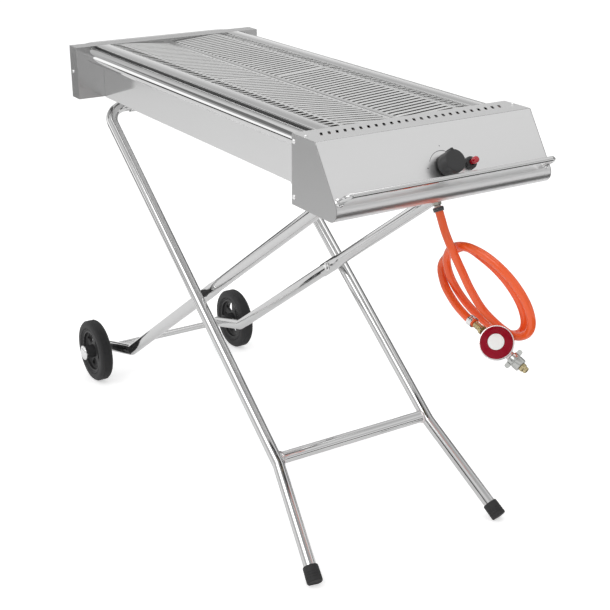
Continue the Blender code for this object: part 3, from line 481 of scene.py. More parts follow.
MATS = {
    "sheet_x": metal("brushed_stainless", grey(0.72), 0.12, (6.0, 700.0, 700.0), 6e-7, 0.012),
    "sheet_y": metal("brushed_stainless_y", grey(0.76), 0.2, (700.0, 6.0, 700.0), 1e-6, 0.02),
    # Painted shade: a darker copy of the stainless for the box's side covers, which face away from the
    # light.
    "cheek": metal("brushed_stainless_cheek_painted_shade", grey(0.5), 0.4, (700.0, 700.0, 6.0), 1e-6, 0.015),
    "panel": metal("brushed_stainless_panel", grey(0.8), 0.32, (900.0, 4.0, 900.0), 4e-7, 0.006, 0.06),
    # Painted shade: a darker copy of the stainless for the rear end plate and the dark line along the
    # cover's top fold.
    "end": metal("brushed_stainless_end_painted_shade", grey(0.48), 0.22, (700.0, 700.0, 6.0), 6e-7, 0.015),
    # Painted shade: near-black stainless for the crevice between the trough lip and the rail.
    "shade": metal("brushed_stainless_painted_shade", grey(0.12), 0.35, (6.0, 700.0, 700.0), 1e-6, 0.05),
    "grid": metal("brushed_stainless_grid", (0.76, 0.76, 0.755), 0.24, (60.0, 30.0, 60.0), 4e-6, 0.04),
    "tube": metal("polished_stainless", grey(0.7), 0.06, (40.0, 40.0, 40.0), 0.0, 0.015),
    "bright": metal("bright_fastener", grey(0.92), 0.1, (200.0, 200.0, 200.0), 0.0, 0.02),
    "steel_dark": metal("dark_clamp", (0.16, 0.16, 0.165), 0.3, (300.0, 300.0, 300.0), 2e-6, 0.1),
    "fitting": metal("inlet_metal", (0.42, 0.4, 0.36), 0.26, (300.0, 300.0, 300.0), 2e-6, 0.1),
    "nut": metal("coupling_nickel", (0.58, 0.59, 0.57), 0.2, (300.0, 300.0, 300.0), 2e-6, 0.06),
    # Dull heated steel for burners, heat plates and tray, darkened further as painted shade under the
    # grids; on the trough's inner walls and floor it is painted shade only.
    "inside": metal("heated_steel_and_painted_shade", (0.17, 0.165, 0.16), 0.45, (90.0, 90.0, 90.0), 8e-6, 0.25),
    "brass": metal("brass", (0.62, 0.52, 0.3), 0.22, (300.0, 300.0, 300.0), 1e-6, 0.08),
    "zinc": metal("cast_zinc", (0.84, 0.79, 0.79), 0.3, (300.0, 300.0, 300.0), 8e-6, 0.05),
    "black": plastic("black_plastic", (0.03, 0.03, 0.031), 0.42, bump_depth=0.00002),
    "rubber": plastic("black_rubber", (0.022, 0.022, 0.023), 0.62, 500.0, 0.00004),
    "tyre": plastic("tyre_rubber", (0.018, 0.018, 0.019), 0.55, 400.0, 0.00004),
    "red": plastic("red_plastic", (0.5, 0.012, 0.028), 0.12, 900.0, 4e-6, coat=0.6),
    "dark_red": plastic("dark_red_paint", (0.3, 0.003, 0.018), 0.26, 700.0, 8e-6, specular=0.15),
    "orange": plastic("orange_hose", (0.95, 0.12, 0.022), 0.22, 700.0, 0.00001, coat=0.3, vary=0.04),
    "label": plastic("white_label", (0.93, 0.93, 0.92), 0.45, 900.0, 5e-6, vary=0.02),
    "ceramic": plastic("ceramic", (0.82, 0.8, 0.75), 0.3, bump_depth=0.00001),
    "ink": plastic("dark_ink", (0.16, 0.16, 0.17), 0.5, bump_depth=0.00001),
}


def dress(mat, bevel, *names):
    """Give carried-over CAD nodes a material and softened edges; their meshes stay as they are."""
    for name in names:
        obj = NODES[name]
        for mat_slot in obj.material_slots:
            mat_slot.link = "OBJECT"
            mat_slot.material = mat
        weld = obj.modifiers.new("weld", "WELD")
        weld.merge_threshold = 0.00001
        if bevel:
            add_bevel(obj, bevel)


# ---- gas hose
def coil_point(degrees):
    """A point on the coil. Each full turn moves it by COIL_DRIFT."""
    turn = math.radians(degrees)
    turns = (78 - degrees) / 360
    along = COIL_LONG * (COIL_RADII[0] * math.cos(turn))
    across = COIL_SHORT * (COIL_RADII[1] * math.sin(turn))
    return COIL_CENTRE + along + across + COIL_DRIFT * turns


def hose_route():
    start = [INLET_END + INLET_DIR * reach for reach in (0.0, 0.022, 0.046)]
    coil = [coil_point(degrees) for degrees in range(*COIL_DEGREES)]
    return start + [Vector(p) for p in LEAD_IN] + coil + [Vector(p) for p in TAIL_OUT]


def smooth_line(points, steps):
    """A smooth curve through the points, by Catmull-Rom interpolation."""
    padded = [points[0] * 2 - points[1]] + points + [points[-1] * 2 - points[-2]]
    line = []
    for a, b, c, d in zip(padded, padded[1:], padded[2:], padded[3:]):
        for k in range(steps):
            t = k / steps
            linear = (c - a) * t
            square = (a * 2 - b * 5 + c * 4 - d) * t ** 2
            cube = (b * 3 - a - c * 3 + d) * t ** 3
            line.append((b * 2 + linear + square + cube) / 2)
    line.append(points[-1])
    return line


def make_hose():
    curve = bpy.data.curves.new("gas_hose_skin", "CURVE")
    curve.dimensions = "3D"
    curve.bevel_depth = HOSE_R
    curve.bevel_resolution = 8
    curve.use_fill_caps = True
    line = smooth_line(hose_route(), 8)
    spline = curve.splines.new("POLY")
    spline.points.add(len(line) - 1)
    for point, place in zip(spline.points, line):
        point.co = (*place, 1.0)
    spline.use_smooth = True
    curve.materials.append(MATS["orange"])
    hose = add_object("gas_hose_skin", curve)
    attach(hose, BOX)
    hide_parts("gas_hose")
    length = sum((b - a).length for a, b in zip(line, line[1:]))
    return hose, length


HOSE, HOSE_LENGTH = make_hose()

# ---- control box geometry
PANEL_ANGLE = math.atan2(PANEL_DROP, PANEL_RUN)
PANEL_NORMAL = Vector((math.sin(PANEL_ANGLE), 0.0, math.cos(PANEL_ANGLE)))
PANEL_DOWN = Vector((math.cos(PANEL_ANGLE), 0.0, -math.sin(PANEL_ANGLE)))
PANEL_TOP = Vector((BOX_REAR_X + BOX_TOP_DEPTH, 0.0, TOP_Z))
Y_AXIS = Vector((0.0, 1.0, 0.0))


def on_panel(y, along, out):
    """The point at a distance down the sloping panel and a distance out from it."""
    return PANEL_TOP + PANEL_DOWN * along + PANEL_NORMAL * out + Vector((0.0, y, 0.0))


def box_profile(nose_steps=24, bend_radius=0.0014):
    """The outer line of the control box in X and Z, from its top rear edge to its bottom edge."""
    end_x = PANEL_TOP.x + PANEL_RUN
    end_z = TOP_Z - PANEL_DROP
    centre_x = end_x - NOSE_R * PANEL_NORMAL.x
    centre_z = end_z - NOSE_R * PANEL_NORMAL.z
    points = round_2d([(BOX_REAR_X, TOP_Z), (PANEL_TOP.x, TOP_Z), (end_x, end_z)], bend_radius, 5)[:-1]
    start = math.pi / 2 - PANEL_ANGLE
    for k in range(nose_steps + 1):
        turn = start - (start + math.pi / 2) * k / nose_steps
        points.append((centre_x + NOSE_R * math.cos(turn), centre_z + NOSE_R * math.sin(turn)))
    return points


BOX_BOTTOM_Z = box_profile()[-1][1]


def stadium(half_long, half_wide, steps=5):
    """Outline of a slot with round ends, long in its first number."""
    reach = half_long - half_wide
    outline = []
    for sign in (1, -1):
        for k in range(steps + 1):
            turn = math.pi * (k / steps - 0.5)
            long, wide = reach + half_wide * math.cos(turn), half_wide * math.sin(turn)
            outline.append((sign * long, sign * wide))
    return outline


def make_trough():
    half = [
        (TROUGH_HALF_W, TROUGH_BOTTOM_Z), (TROUGH_HALF_W, TOP_Z - LIP_DEPTH),
        (LIP_OUT_Y, TOP_Z - LIP_DEPTH), (LIP_OUT_Y, TOP_Z), (LIP_IN_Y, TOP_Z),
        (LIP_IN_Y, TOP_Z - LEDGE_DROP), (LEDGE_IN_Y, TOP_Z - LEDGE_DROP),
    ]
    radii = [0.002, 0.0012, 0.0016, 0.0028, 0.0016, 0.0012]
    path = [(-y, z) for y, z in half[::-1]] + half
    path = round_2d(path, radii[::-1] + radii, 5)
    bm = prism(folded_sheet(path, SHEET), "X", *TROUGH_X)
    trough = add_piece("trough_sheet", bm, "sheet_x", BOX, ["trough"], 30)
    trough.data.materials.append(MATS["shade"])
    trough.data.materials.append(MATS["inside"])
    for face in trough.data.polygons:
        y, z = abs(face.center.y), face.center.z
        # The lip's outer face takes the near-black shade metal: painted shade in the crevice over the
        # rail.
        if y > LIP_OUT_Y - 0.0013 and TOP_Z - LIP_DEPTH < z < TOP_Z - 0.002:
            face.material_index = 1
        # Inner walls and floor take the dark inside metal: painted shade under the grids.
        elif y < TROUGH_HALF_W - 0.0008 and TROUGH_BOTTOM_Z + 0.0008 < z < TOP_Z - LEDGE_DROP - 0.0008:
            face.material_index = 2


def make_control_cover():
    path = box_profile()
    path.append((path[-1][0] - NOSE_RETURN, path[-1][1]))
    half = BOX_HALF_W - SHEET - GAP
    bm = prism(folded_sheet(path, -SHEET), "Y", -half, half)
    cover = add_piece("control_cover_sheet", bm, "panel", BOX, ["control_cover"], 30)
    cutter = bmesh.new()
    long, wide = (v / 2 for v in VENT_SIZE)
    for k in range(VENT_COUNT):
        y = VENT_SPAN_Y * (k / (VENT_COUNT - 1) - 0.5)
        outline = [(VENT_X + a, y + b - a * VENT_SKEW / VENT_SIZE[0]) for a, b in stadium(long, wide)]
        prism(outline, "Z", TOP_Z - 0.003, TOP_Z + 0.003, cutter)
    for (y, along), radius in ((KNOB_AT, SPINDLE_R + 0.0015), (IGNITER_AT, BUTTON_R + 0.004)):
        sweep([on_panel(y, along, reach) for reach in (-CUT_REACH, CUT_REACH)], radius, 32, bm=cutter)
    cut(cover, cutter)
    cover.data.materials.append(MATS["end"])
    # Faces in the fold between the top and the panel take the darker end copy: a painted shade line.
    for face in cover.data.polygons:
        if face.center.z > TOP_Z - 0.006 and PANEL_NORMAL.z + 0.03 < face.normal.z < 0.985:
            face.material_index = 1
    add_bevel(cover, 0.0002, 1)


def make_vent_shade_sheet():
    """A dark sheet under the vents: painted shade, so they show dark like the shadowed inside of the box.
    """
    bm = bmesh.new()
    add_box(bm, (0.464, -0.21, TOP_Z - 0.011), (0.523, 0.21, TOP_Z - 0.01))
    add_piece("vent_heat_shield", bm, "rubber", BOX, (), 30, 0.0003)


def make_side_covers():
    outline = box_profile()
    outline.append((BOX_REAR_X, BOX_BOTTOM_Z))
    for name, side in SIDES.items():
        ends = sorted((side * BOX_HALF_W, side * (BOX_HALF_W - SHEET)))
        bm = prism(outline, "Y", *ends)
        node = f"side_cover_{name}"
        # The side covers take the darker cheek copy of the stainless: painted shade.
        add_piece(f"{node}_sheet", bm, "cheek", BOX, [node], 30, 0.0004)


def make_rails_and_handle():
    front_x = WALL_X - GAP
    corners = [
        (front_x, -RAIL_Y, RAIL_Z), (RAIL_LOOP_X, -RAIL_Y, RAIL_Z), (RAIL_LOOP_X, RAIL_Y, RAIL_Z),
        (front_x, RAIL_Y, RAIL_Z),
    ]
    bm = sweep(round_corners(corners, RAIL_BEND, 16), RAIL_R, 40, 0.0015)
    add_piece("rail_tube", bm, "tube", BOX, ["rail_loop"])
    corners = [
        on_panel(-HANDLE_HALF_W, HANDLE_ALONG, GAP),
        on_panel(-HANDLE_HALF_W, HANDLE_ALONG, HANDLE_STANDOFF),
        on_panel(HANDLE_HALF_W, HANDLE_ALONG, HANDLE_STANDOFF),
        on_panel(HANDLE_HALF_W, HANDLE_ALONG, GAP),
    ]
    bm = sweep(round_corners(corners, HANDLE_BEND, 12), HANDLE_R, 28)
    add_piece("front_handle_bar", bm, "tube", BOX, ["front_handle"])
    for name, side in SIDES.items():
        hole = HANDLE_R + 0.0001
        ring = [(hole, 0.0002), (0.0078, 0.0002), (0.0066, 0.0014), (hole, 0.0022)]
        foot = on_panel(side * HANDLE_HALF_W, HANDLE_ALONG, 0.0)
        add_turned(f"handle_weld_{name}", ring, foot, PANEL_NORMAL, 32, "bright", BOX, closed=True)


# ---- cooking grids
BAR_SHARE = 0.62             # share of each pitch that is bar, the rest being slot
FLANGE_SLOT_SHARE = 0.56
FLANGE_SLOT_Y = (0.128, 0.149)
LONG_SLOT_Y = (0.011, 0.1195)
BAR_CROWN = 0.0013
GRID_END_STRIP = 0.0035
GRID_SKIN = 0.0014


def grid_height(y):
    """Height of a grid's upper face: a level flange, a small ridge, then a slope to the valley."""
    level = TOP_Z - LEDGE_DROP + GAP + GRID_THICK
    slope = GRID_VALLEY_DROP / (GRID_BEND_Y - GRID_IN_Y)
    height = level - max(GRID_BEND_Y - y, 0.0) * slope
    if 0.1215 < y < 0.1272:
        height += 0.0008
    return height


def make_grid(name, side, low_x, high_x):
    pitch = (high_x - low_x - 2 * GRID_END_STRIP) / GRID_SLOTS
    columns = [(low_x, 0.0, ""), (low_x + GRID_END_STRIP * 0.9, 0.0, "")]
    for k in range(GRID_SLOTS):
        start = low_x + GRID_END_STRIP + pitch * k
        bar = BAR_SHARE / 2
        short = (1 - FLANGE_SLOT_SHARE) / 2
        marks = [(0.0, 1.0, ""), (bar * 0.45, 0.82, ""), (short, 0.35, "f"), (bar, 0.0, "fl")]
        marks += [(1 - bar, 0.0, "f"), (1 - short, 0.35, ""), (1 - bar * 0.45, 0.82, "")]
        columns += [(start + pitch * share, crown, kind) for share, crown, kind in marks]
    columns += [(high_x - GRID_END_STRIP, 1.0, ""), (high_x, 0.0, "")]
    rows = [
        (GRID_OUT_Y, 0.0, 0.0), (FLANGE_SLOT_Y[1], 0.0, 0.0), (FLANGE_SLOT_Y[0], 0.0, 0.0),
        (0.1268, 0.0, 0.0), (0.1245, 0.0, 0.0), (0.122, 0.0, 0.0), (LONG_SLOT_Y[1], 0.7, 0.0),
        (LONG_SLOT_Y[1] - 0.004, 1.0, 0.0), (LONG_SLOT_Y[0] + 0.004, 1.0, 0.0),
        (LONG_SLOT_Y[0], 0.6, 0.0), (0.008, 0.0, 0.0), (0.0018, 0.0, 0.0),
        (GRID_IN_Y, 0.0, 0.0012),
    ]
    bm = bmesh.new()
    points = []
    for y, crowned, drop in rows:
        line = []
        for x, crown, _ in columns:
            z = grid_height(y) + BAR_CROWN * crown * crowned - drop
            line.append(bm.verts.new((x, side * y, z)))
        points.append(line)
    for i, (outer, inner) in enumerate(zip(rows, rows[1:])):
        in_flange_slot = outer[0] <= FLANGE_SLOT_Y[1] and inner[0] >= FLANGE_SLOT_Y[0]
        in_long_slot = outer[0] <= LONG_SLOT_Y[1] and inner[0] >= LONG_SLOT_Y[0]
        for j, (_, _, kind) in enumerate(columns[:-1]):
            if (in_flange_slot and "f" in kind) or (in_long_slot and "l" in kind):
                continue
            bm.faces.new((points[i][j], points[i][j + 1], points[i + 1][j + 1], points[i + 1][j]))
    loose = [v for v in bm.verts if not v.link_faces]
    bmesh.ops.delete(bm, geom=loose, context="VERTS")
    grid = add_piece(f"{name}_pressing", bm, "grid", name.replace("cooking_", ""), [name], 50)
    up = sum((p.normal.z for p in grid.data.polygons))
    solid = grid.modifiers.new("skin", "SOLIDIFY")
    solid.thickness = GRID_SKIN
    solid.offset = -1.0 if up > 0 else 1.0
    add_bevel(grid, 0.0003, 1)


def make_cooking_grids():
    ends = {
        "rear": (GRID_ENDS_X[0], GRID_SPLIT_X - 0.0008),
        "front": (GRID_SPLIT_X + 0.0008, GRID_ENDS_X[1]),
    }
    for place, (low_x, high_x) in ends.items():
        for name, side in SIDES.items():
            make_grid(f"cooking_grid_{place}_{name}", side, low_x, high_x)


# ---- controls
def make_knob():
    y, along = KNOB_AT
    origin = on_panel(y, along, 0.0)
    profile = [
        (0.0, 0.0203), (SPINDLE_R + GAP, 0.0203), (SPINDLE_R + GAP, KNOB_BASE + 0.002),
        (KNOB_R * 0.9, KNOB_BASE + 0.002), (KNOB_R * 0.92, KNOB_BASE), (KNOB_R * 1.0, KNOB_BASE),
        (KNOB_R * 1.02, KNOB_BASE + 0.0008), (KNOB_R * 0.975, KNOB_TOP - 0.0024),
        (KNOB_R * 0.96, KNOB_TOP - 0.0012), (KNOB_R * 0.925, KNOB_TOP - 0.0003),
        (KNOB_R * 0.885, KNOB_TOP), (KNOB_R * 0.6, KNOB_TOP - 0.0002), (0.0, KNOB_TOP - 0.0003),
    ]
    parts = ["black", "knob", ["control_knob"], 45]
    knob = add_turned("control_knob_cap", profile, origin, PANEL_NORMAL, 96, *parts)
    pointer = bmesh.new()
    add_box(pointer, (-0.0228, -0.0026, 0.011), (-0.0165, 0.0026, 0.0304))
    bmesh.ops.bevel(pointer, geom=pointer.edges[:], offset=0.0009, segments=3, affect="EDGES")
    placed(pointer, origin, PANEL_DOWN, Y_AXIS, PANEL_NORMAL)
    cut(knob, pointer, "UNION")
    knob.data.set_sharp_from_angle(angle=math.radians(45))


def make_dial_marks():
    """Generic marks round the knob: a tapering arc and two dots."""
    y, along = KNOB_AT
    bm = bmesh.new()
    steps = 28
    rings = []
    for k in range(steps + 1):
        part = k / steps
        turn = math.radians(158 - 84 * part)
        radius = 0.0335 - 0.006 * part
        half = 0.00035 + 0.00035 * part
        corner = []
        for reach in (radius - half, radius + half):
            for out in (0.00004, 0.0001):
                place = (y + reach * math.cos(turn), along - reach * math.sin(turn), out)
                corner.append(bm.verts.new(on_panel(*place)))
        rings.append([corner[0], corner[1], corner[3], corner[2]])
    for low, high in zip(rings, rings[1:]):
        for i in range(4):
            bm.faces.new((low[i], low[(i + 1) % 4], high[(i + 1) % 4], high[i]))
    bm.faces.new(rings[0])
    bm.faces.new(rings[-1])
    dots = [((-0.0385, 0.002), 0.0012), ((-0.001, 0.0375), 0.001)]
    for (across, above), radius in dots:
        profile = [(0.0, 0.00004), (radius, 0.00004), (radius, 0.0001), (0.0, 0.0001)]
        lathe(profile, on_panel(y + across, along - above, 0.0), PANEL_NORMAL, 20, bm=bm)
    add_piece("dial_marks", bm, "ink", BOX)


def make_igniter():
    y, along = IGNITER_AT
    origin = on_panel(y, along, 0.0)
    collar = [
        (0.0, -0.012), (BUTTON_R + GAP, -0.012), (BUTTON_R + GAP, 0.0078),
        (BUTTON_R + 0.0008, 0.0082), (IGNITER_COLLAR_R * 0.8, 0.0082),
        (IGNITER_COLLAR_R * 0.9, 0.0076), (IGNITER_COLLAR_R * 0.96, 0.0062),
        (IGNITER_COLLAR_R, 0.003), (IGNITER_COLLAR_R, GAP), (BUTTON_R + 0.0036, GAP),
        (BUTTON_R + 0.0036, -0.03), (0.0, -0.03),
    ]
    add_turned("igniter_collar", collar, origin, PANEL_NORMAL, 64, "black", BOX, ["igniter_body"], 35)
    button = [
        (0.0, -0.006), (BUTTON_R, -0.006), (BUTTON_R, 0.0126), (BUTTON_R * 1.16, 0.0136),
        (BUTTON_R * 1.22, 0.015), (BUTTON_R * 1.2, 0.02), (BUTTON_R * 1.1, 0.0222),
        (BUTTON_R * 0.88, 0.0236), (BUTTON_R * 0.55, 0.0242), (0.0, 0.0243),
    ]
    body, node = "igniter_push_button", "igniter_button"
    add_turned("igniter_button_cap", button, origin, PANEL_NORMAL, 48, "red", body, [node], 50)


def make_screw(name, at, axis, radius=SCREW_R):
    """A button-head screw with a round socket."""
    axis = Vector(axis).normalized()
    head = [
        (0.0, 0.0001), (radius, 0.0001), (radius, 0.0006), (radius * 0.92, 0.0015),
        (radius * 0.74, 0.0023), (radius * 0.48, 0.0028), (radius * 0.4, 0.0028),
        (radius * 0.36, 0.0014), (0.0, 0.0014),
    ]
    add_turned(name, head, at, axis, 32, "bright", BOX, (), 50)


def make_screws():
    for name, side in SIDES.items():
        for label, z in (("upper", 0.8435), ("lower", 0.747)):
            make_screw(f"cover_screw_{label}_{name}", (0.468, side * BOX_HALF_W, z), (0, side, 0))
        make_screw(f"cover_screw_top_{name}", (0.492, side * 0.222, TOP_Z), (0, 0, 1), 0.0034)
        make_screw(f"end_plate_screw_{name}", (-0.482, side * 0.2335, 0.8), (0, side, 0), 0.0036)


# ---- stand
LEG_SLOPE = FOLD_Z / (FOOT_X - REAR_HINGE_X)
WHEEL_SLOPE = (FOLD_Z - ARM_BEND[1]) / (CATCH_X - ARM_BEND[0])
PIVOT_X = (REAR_HINGE_X * LEG_SLOPE + CATCH_X * WHEEL_SLOPE) / (LEG_SLOPE + WHEEL_SLOPE)
PIVOT_Z = FOLD_Z - (PIVOT_X - REAR_HINGE_X) * LEG_SLOPE


def leg_point(x, y):
    return Vector((x, y, FOLD_Z - (x - REAR_HINGE_X) * LEG_SLOPE))


def foot_direction(side):
    return (leg_point(KINK_X, side * FOOT_Y) - leg_point(FOOT_X, side * FOOT_SPLAY_Y)).normalized()


def make_foot_frame():
    ends = []
    for side in SIDES.values():
        foot = leg_point(FOOT_X, side * FOOT_SPLAY_Y)
        direction = foot_direction(side)
        start = foot + direction * ((FOOT_END_Z + FOOT_CAP_FLOOR + GAP) / direction.z)
        ends.append([start, leg_point(KINK_X, side * FOOT_Y), leg_point(REAR_HINGE_X, side * FOOT_Y)])
    corners = ends[0] + ends[1][::-1]
    bm = sweep(round_corners(corners, FOOT_BEND, 14), TUBE_R, 40, TUBE_WALL)
    add_piece("foot_frame_tube", bm, "tube", "foot_leg_frame", ["foot_frame"])
    reach = FOOT_Y - TUBE_R * 0.75
    ends = [leg_point(CROSSBAR_X, side * reach) for side in SIDES.values()]
    bm = sweep(ends, TUBE_R * 0.98, 40)
    add_piece("foot_crossbar_tube", bm, "tube", "foot_leg_frame", ["foot_crossbar"])
    for name, side in SIDES.items():
        bead = leg_point(CROSSBAR_X, side * (FOOT_Y - TUBE_R * 0.98))
        hole = TUBE_R * 0.97
        ring = [(hole, -0.0005), (TUBE_R + 0.0018, -0.0006), (TUBE_R + 0.0014, 0.001), (hole, 0.003)]
        axis = (0, -side, 0)
        add_turned(f"crossbar_weld_{name}", ring, bead, axis, 40, "zinc", "foot_leg_frame", closed=True)


def make_foot_caps():
    for name, side in SIDES.items():
        direction = foot_direction(side)
        base = leg_point(FOOT_X, side * FOOT_SPLAY_Y) + direction * (FOOT_END_Z / direction.z)
        profile = [(0.0, 0.0), (FOOT_CAP_R * 0.9, 0.0), (FOOT_CAP_R * 0.97, 0.0012), (FOOT_CAP_R, 0.003)]
        for k in range(3):
            z = 0.0075 + 0.005 * k
            profile += [
                (FOOT_CAP_R, z), (FOOT_CAP_R - 0.0007, z + 0.0005),
                (FOOT_CAP_R - 0.0007, z + 0.0013), (FOOT_CAP_R - 0.0001 * k, z + 0.0018),
            ]
        profile += [
            (FOOT_CAP_R * 0.97, FOOT_CAP_LEN - 0.0012), (FOOT_CAP_R * 0.93, FOOT_CAP_LEN),
            (TUBE_R + GAP, FOOT_CAP_LEN), (TUBE_R + GAP, FOOT_CAP_FLOOR), (0.0, FOOT_CAP_FLOOR),
        ]
        node = f"foot_cap_{name}"
        parts = ["rubber", "foot_leg_frame", [node], 35]
        cap = add_turned(f"{node}_rubber", profile, base, direction, 56, *parts)
        below = bmesh.new()
        foot_y = side * FOOT_SPLAY_Y
        add_box(below, (FOOT_X - 0.1, foot_y - 0.1, -0.1), (FOOT_X + 0.1, foot_y + 0.1, 0.0))
        cut(cap, below)


def wheel_line_point(distance, y):
    """A point on the wheel frame's straight leg, measured down from the scissor pivot."""
    run = Vector((-1.0, 0.0, -WHEEL_SLOPE)).normalized()
    return Vector((PIVOT_X, y, PIVOT_Z)) + run * distance


def smoothstep(t):
    t = min(max(t, 0.0), 1.0)
    return t * t * (3 - 2 * t)


def make_wheel_frame():
    """Round upper legs pressed flat at the scissor bolt, and flat-sided lower arms."""
    top = -(CATCH_X - PIVOT_X) * math.hypot(1.0, WHEEL_SLOPE)
    flat = (ARM_HALF_Y + 0.0006, FLAT_HALF_H)
    for name, side in SIDES.items():
        marks = [top, -0.07]
        marks += [-0.062 + 0.004 * k for k in range(13)] + [0.0, FLAT_END]
        path, widths = [], []
        for distance in marks:
            t = smoothstep((distance + 0.062) / 0.046)
            path.append(wheel_line_point(distance, side * WHEEL_Y))
            widths.append(tuple(TUBE_R + (w - TUBE_R) * t for w in flat))
        bm = sweep(path, widths, 40, TUBE_WALL)
        add_piece(f"wheel_leg_{name}_tube", bm, "tube", "wheel_leg_frame", [f"wheel_leg_{name}"])
        start = wheel_line_point(FLAT_END - 0.004, side * WHEEL_Y)
        bend = Vector((ARM_BEND[0], side * WHEEL_Y, ARM_BEND[1]))
        axle = Vector((AXLE_X, side * WHEEL_Y, WHEEL_R))
        tip = axle + (axle - bend).normalized() * 0.012
        path = round_corners([start, bend, tip], 0.026, 14)
        bm = sweep(path, [(ARM_HALF_Y, ARM_HALF_H)] * len(path), 40, TUBE_WALL, power=0.72)
        add_piece(f"wheel_arm_{name}_tube", bm, "tube", "wheel_leg_frame", [f"wheel_arm_{name}"])
    reach = WHEEL_Y - ARM_HALF_Y + 0.001
    ends = [(AXLE_X, side * reach, WHEEL_R) for side in SIDES.values()]
    add_piece("axle_sleeve", sweep(ends, 0.008, 32), "tube", "wheel_leg_frame", ["axle_tube"])


def make_pivot_hardware():
    """Hexagon heads with washers at the scissor bolts, outside the outer legs."""
    for name, side in SIDES.items():
        face = Vector((PIVOT_X, side * (WHEEL_Y - ARM_HALF_Y - 0.0008), PIVOT_Z))
        inward = Vector((0, -side, 0))
        washer = [(0.0, 0.0), (0.0098, 0.0), (0.0098, 0.001), (0.009, 0.0014), (0.0, 0.0014)]
        add_turned(f"pivot_washer_{name}", washer, face, inward, 40, "bright", "foot_leg_frame", (), 35)
        head = [(0.0, 0.0014), (0.0076, 0.0014), (0.0076, 0.0048), (0.0064, 0.0056), (0.0, 0.0058)]
        parts = ["foot_leg_frame", [f"scissor_bolt_{name}"], 25, 0.0003]
        add_turned(f"pivot_head_{name}", head, face, inward, 6, "bright", *parts)
        spacer = [(0.0, 0.0), (0.0082, 0.0), (0.0082, 0.0135), (0.0, 0.0135)]
        out = Vector((PIVOT_X, side * (WHEEL_Y + ARM_HALF_Y - 0.001), PIVOT_Z))
        axis = (0, side, 0)
        add_turned(f"pivot_spacer_{name}", spacer, out, axis, 32, "black", "foot_leg_frame", (), 35)


# ---- wheels
def make_wheel(name, side):
    bore = AXLE_R + GAP
    body = f"wheel_{name}"
    centre = Vector((AXLE_X, side * WHEEL_CENTRE_Y, WHEEL_R))
    axis = Vector((0, side, 0))
    edge = TYRE_HALF_W
    tread = []
    ribs = 7
    for k in range(ribs):
        low = edge * 0.62 * (2 * k / ribs - 1)
        high = edge * 0.62 * (2 * (k + 1) / ribs - 1)
        gap = (high - low) * 0.16
        groove = WHEEL_R - 0.0014
        tread += [(groove, low), (WHEEL_R, low + gap), (WHEEL_R, high - gap), (groove, high)]
    shoulder = [
        (RIM_R + GAP, edge * 0.75), (RIM_R + 0.0045, edge * 0.93),
        (RIM_R + 0.006, edge * 0.86), (RIM_R + 0.0075, edge * 0.98), (RIM_R + 0.012, edge),
        (WHEEL_R - 0.0075, edge), (WHEEL_R - 0.0045, edge * 0.93),
        (WHEEL_R - 0.002, edge * 0.78),
    ]
    profile = [(r, -h) for r, h in shoulder] + tread + shoulder[::-1]
    node = f"tyre_{name}"
    add_turned(f"{node}_rubber", profile, centre, axis, 128, "tyre", body, [node], 28, closed=True)
    inner, outer = (v - WHEEL_CENTRE_Y for v in HUB_Y)
    web = 0.0035
    hub = [
        (bore, inner), (HUB_R * 0.82, inner), (HUB_R * 0.88, inner + 0.001),
        (HUB_R, -web - 0.002), (HUB_R + 0.003, -web), (RIM_R - 0.007, -web),
        (RIM_R - 0.004, -web - 0.002), (RIM_R - 0.0035, -edge * 0.75), (RIM_R, -edge * 0.75),
        (RIM_R, edge * 0.75), (RIM_R - 0.0035, edge * 0.75), (RIM_R - 0.004, web + 0.002),
        (RIM_R - 0.007, web), (HUB_R + 0.003, web), (HUB_R, web + 0.002), (HUB_R * 0.95, outer),
        (bore, outer),
    ]
    node = f"wheel_hub_{name}"
    parts = ["black", body, [node], 35]
    wheel = add_turned(f"{node}_moulding", hub, centre, axis, 96, *parts, closed=True)
    cutter = bmesh.new()
    for k in range(5):
        middle = 2 * math.pi * (k + 0.5) / 5
        outline = []
        for radius, way in ((RIM_R - 0.0085, 1), (HUB_R + 0.006, -1)):
            spread = math.radians(25 if way == 1 else 17)
            for j in range(9):
                turn = middle + way * spread * (2 * j / 8 - 1)
                outline.append((AXLE_X + radius * math.sin(turn), WHEEL_R + radius * math.cos(turn)))
        ends = sorted(side * (WHEEL_CENTRE_Y + reach) for reach in (-0.02, 0.02))
        prism(outline, "Y", *ends, cutter)
    cut(wheel, cutter)
    add_bevel(wheel, 0.0006)
    cap_start = Vector((AXLE_X, side * (HUB_Y[1] + GAP), WHEEL_R))
    cap = [
        (0.0, 0.0), (HUB_CAP_R * 0.97, 0.0), (HUB_CAP_R, 0.0008), (HUB_CAP_R, 0.003),
        (HUB_CAP_R * 0.97, 0.0038), (HUB_CAP_R * 0.84, 0.0042), (HUB_CAP_R * 0.78, 0.0058),
        (HUB_CAP_R * 0.55, 0.007), (HUB_CAP_R * 0.28, 0.0077), (0.0, 0.0078),
    ]
    node = f"hub_cap_{name}"
    add_turned(f"{node}_chrome", cap, cap_start, axis, 64, "bright", "wheel_leg_frame", [node], 40)


# ---- gas inlet and regulator
def join(obj, bm):
    """Unite a bmesh with a piece and shade the result again."""
    cut(obj, bm, "UNION")
    obj.data.shade_smooth()
    obj.data.set_sharp_from_angle(angle=math.radians(35))


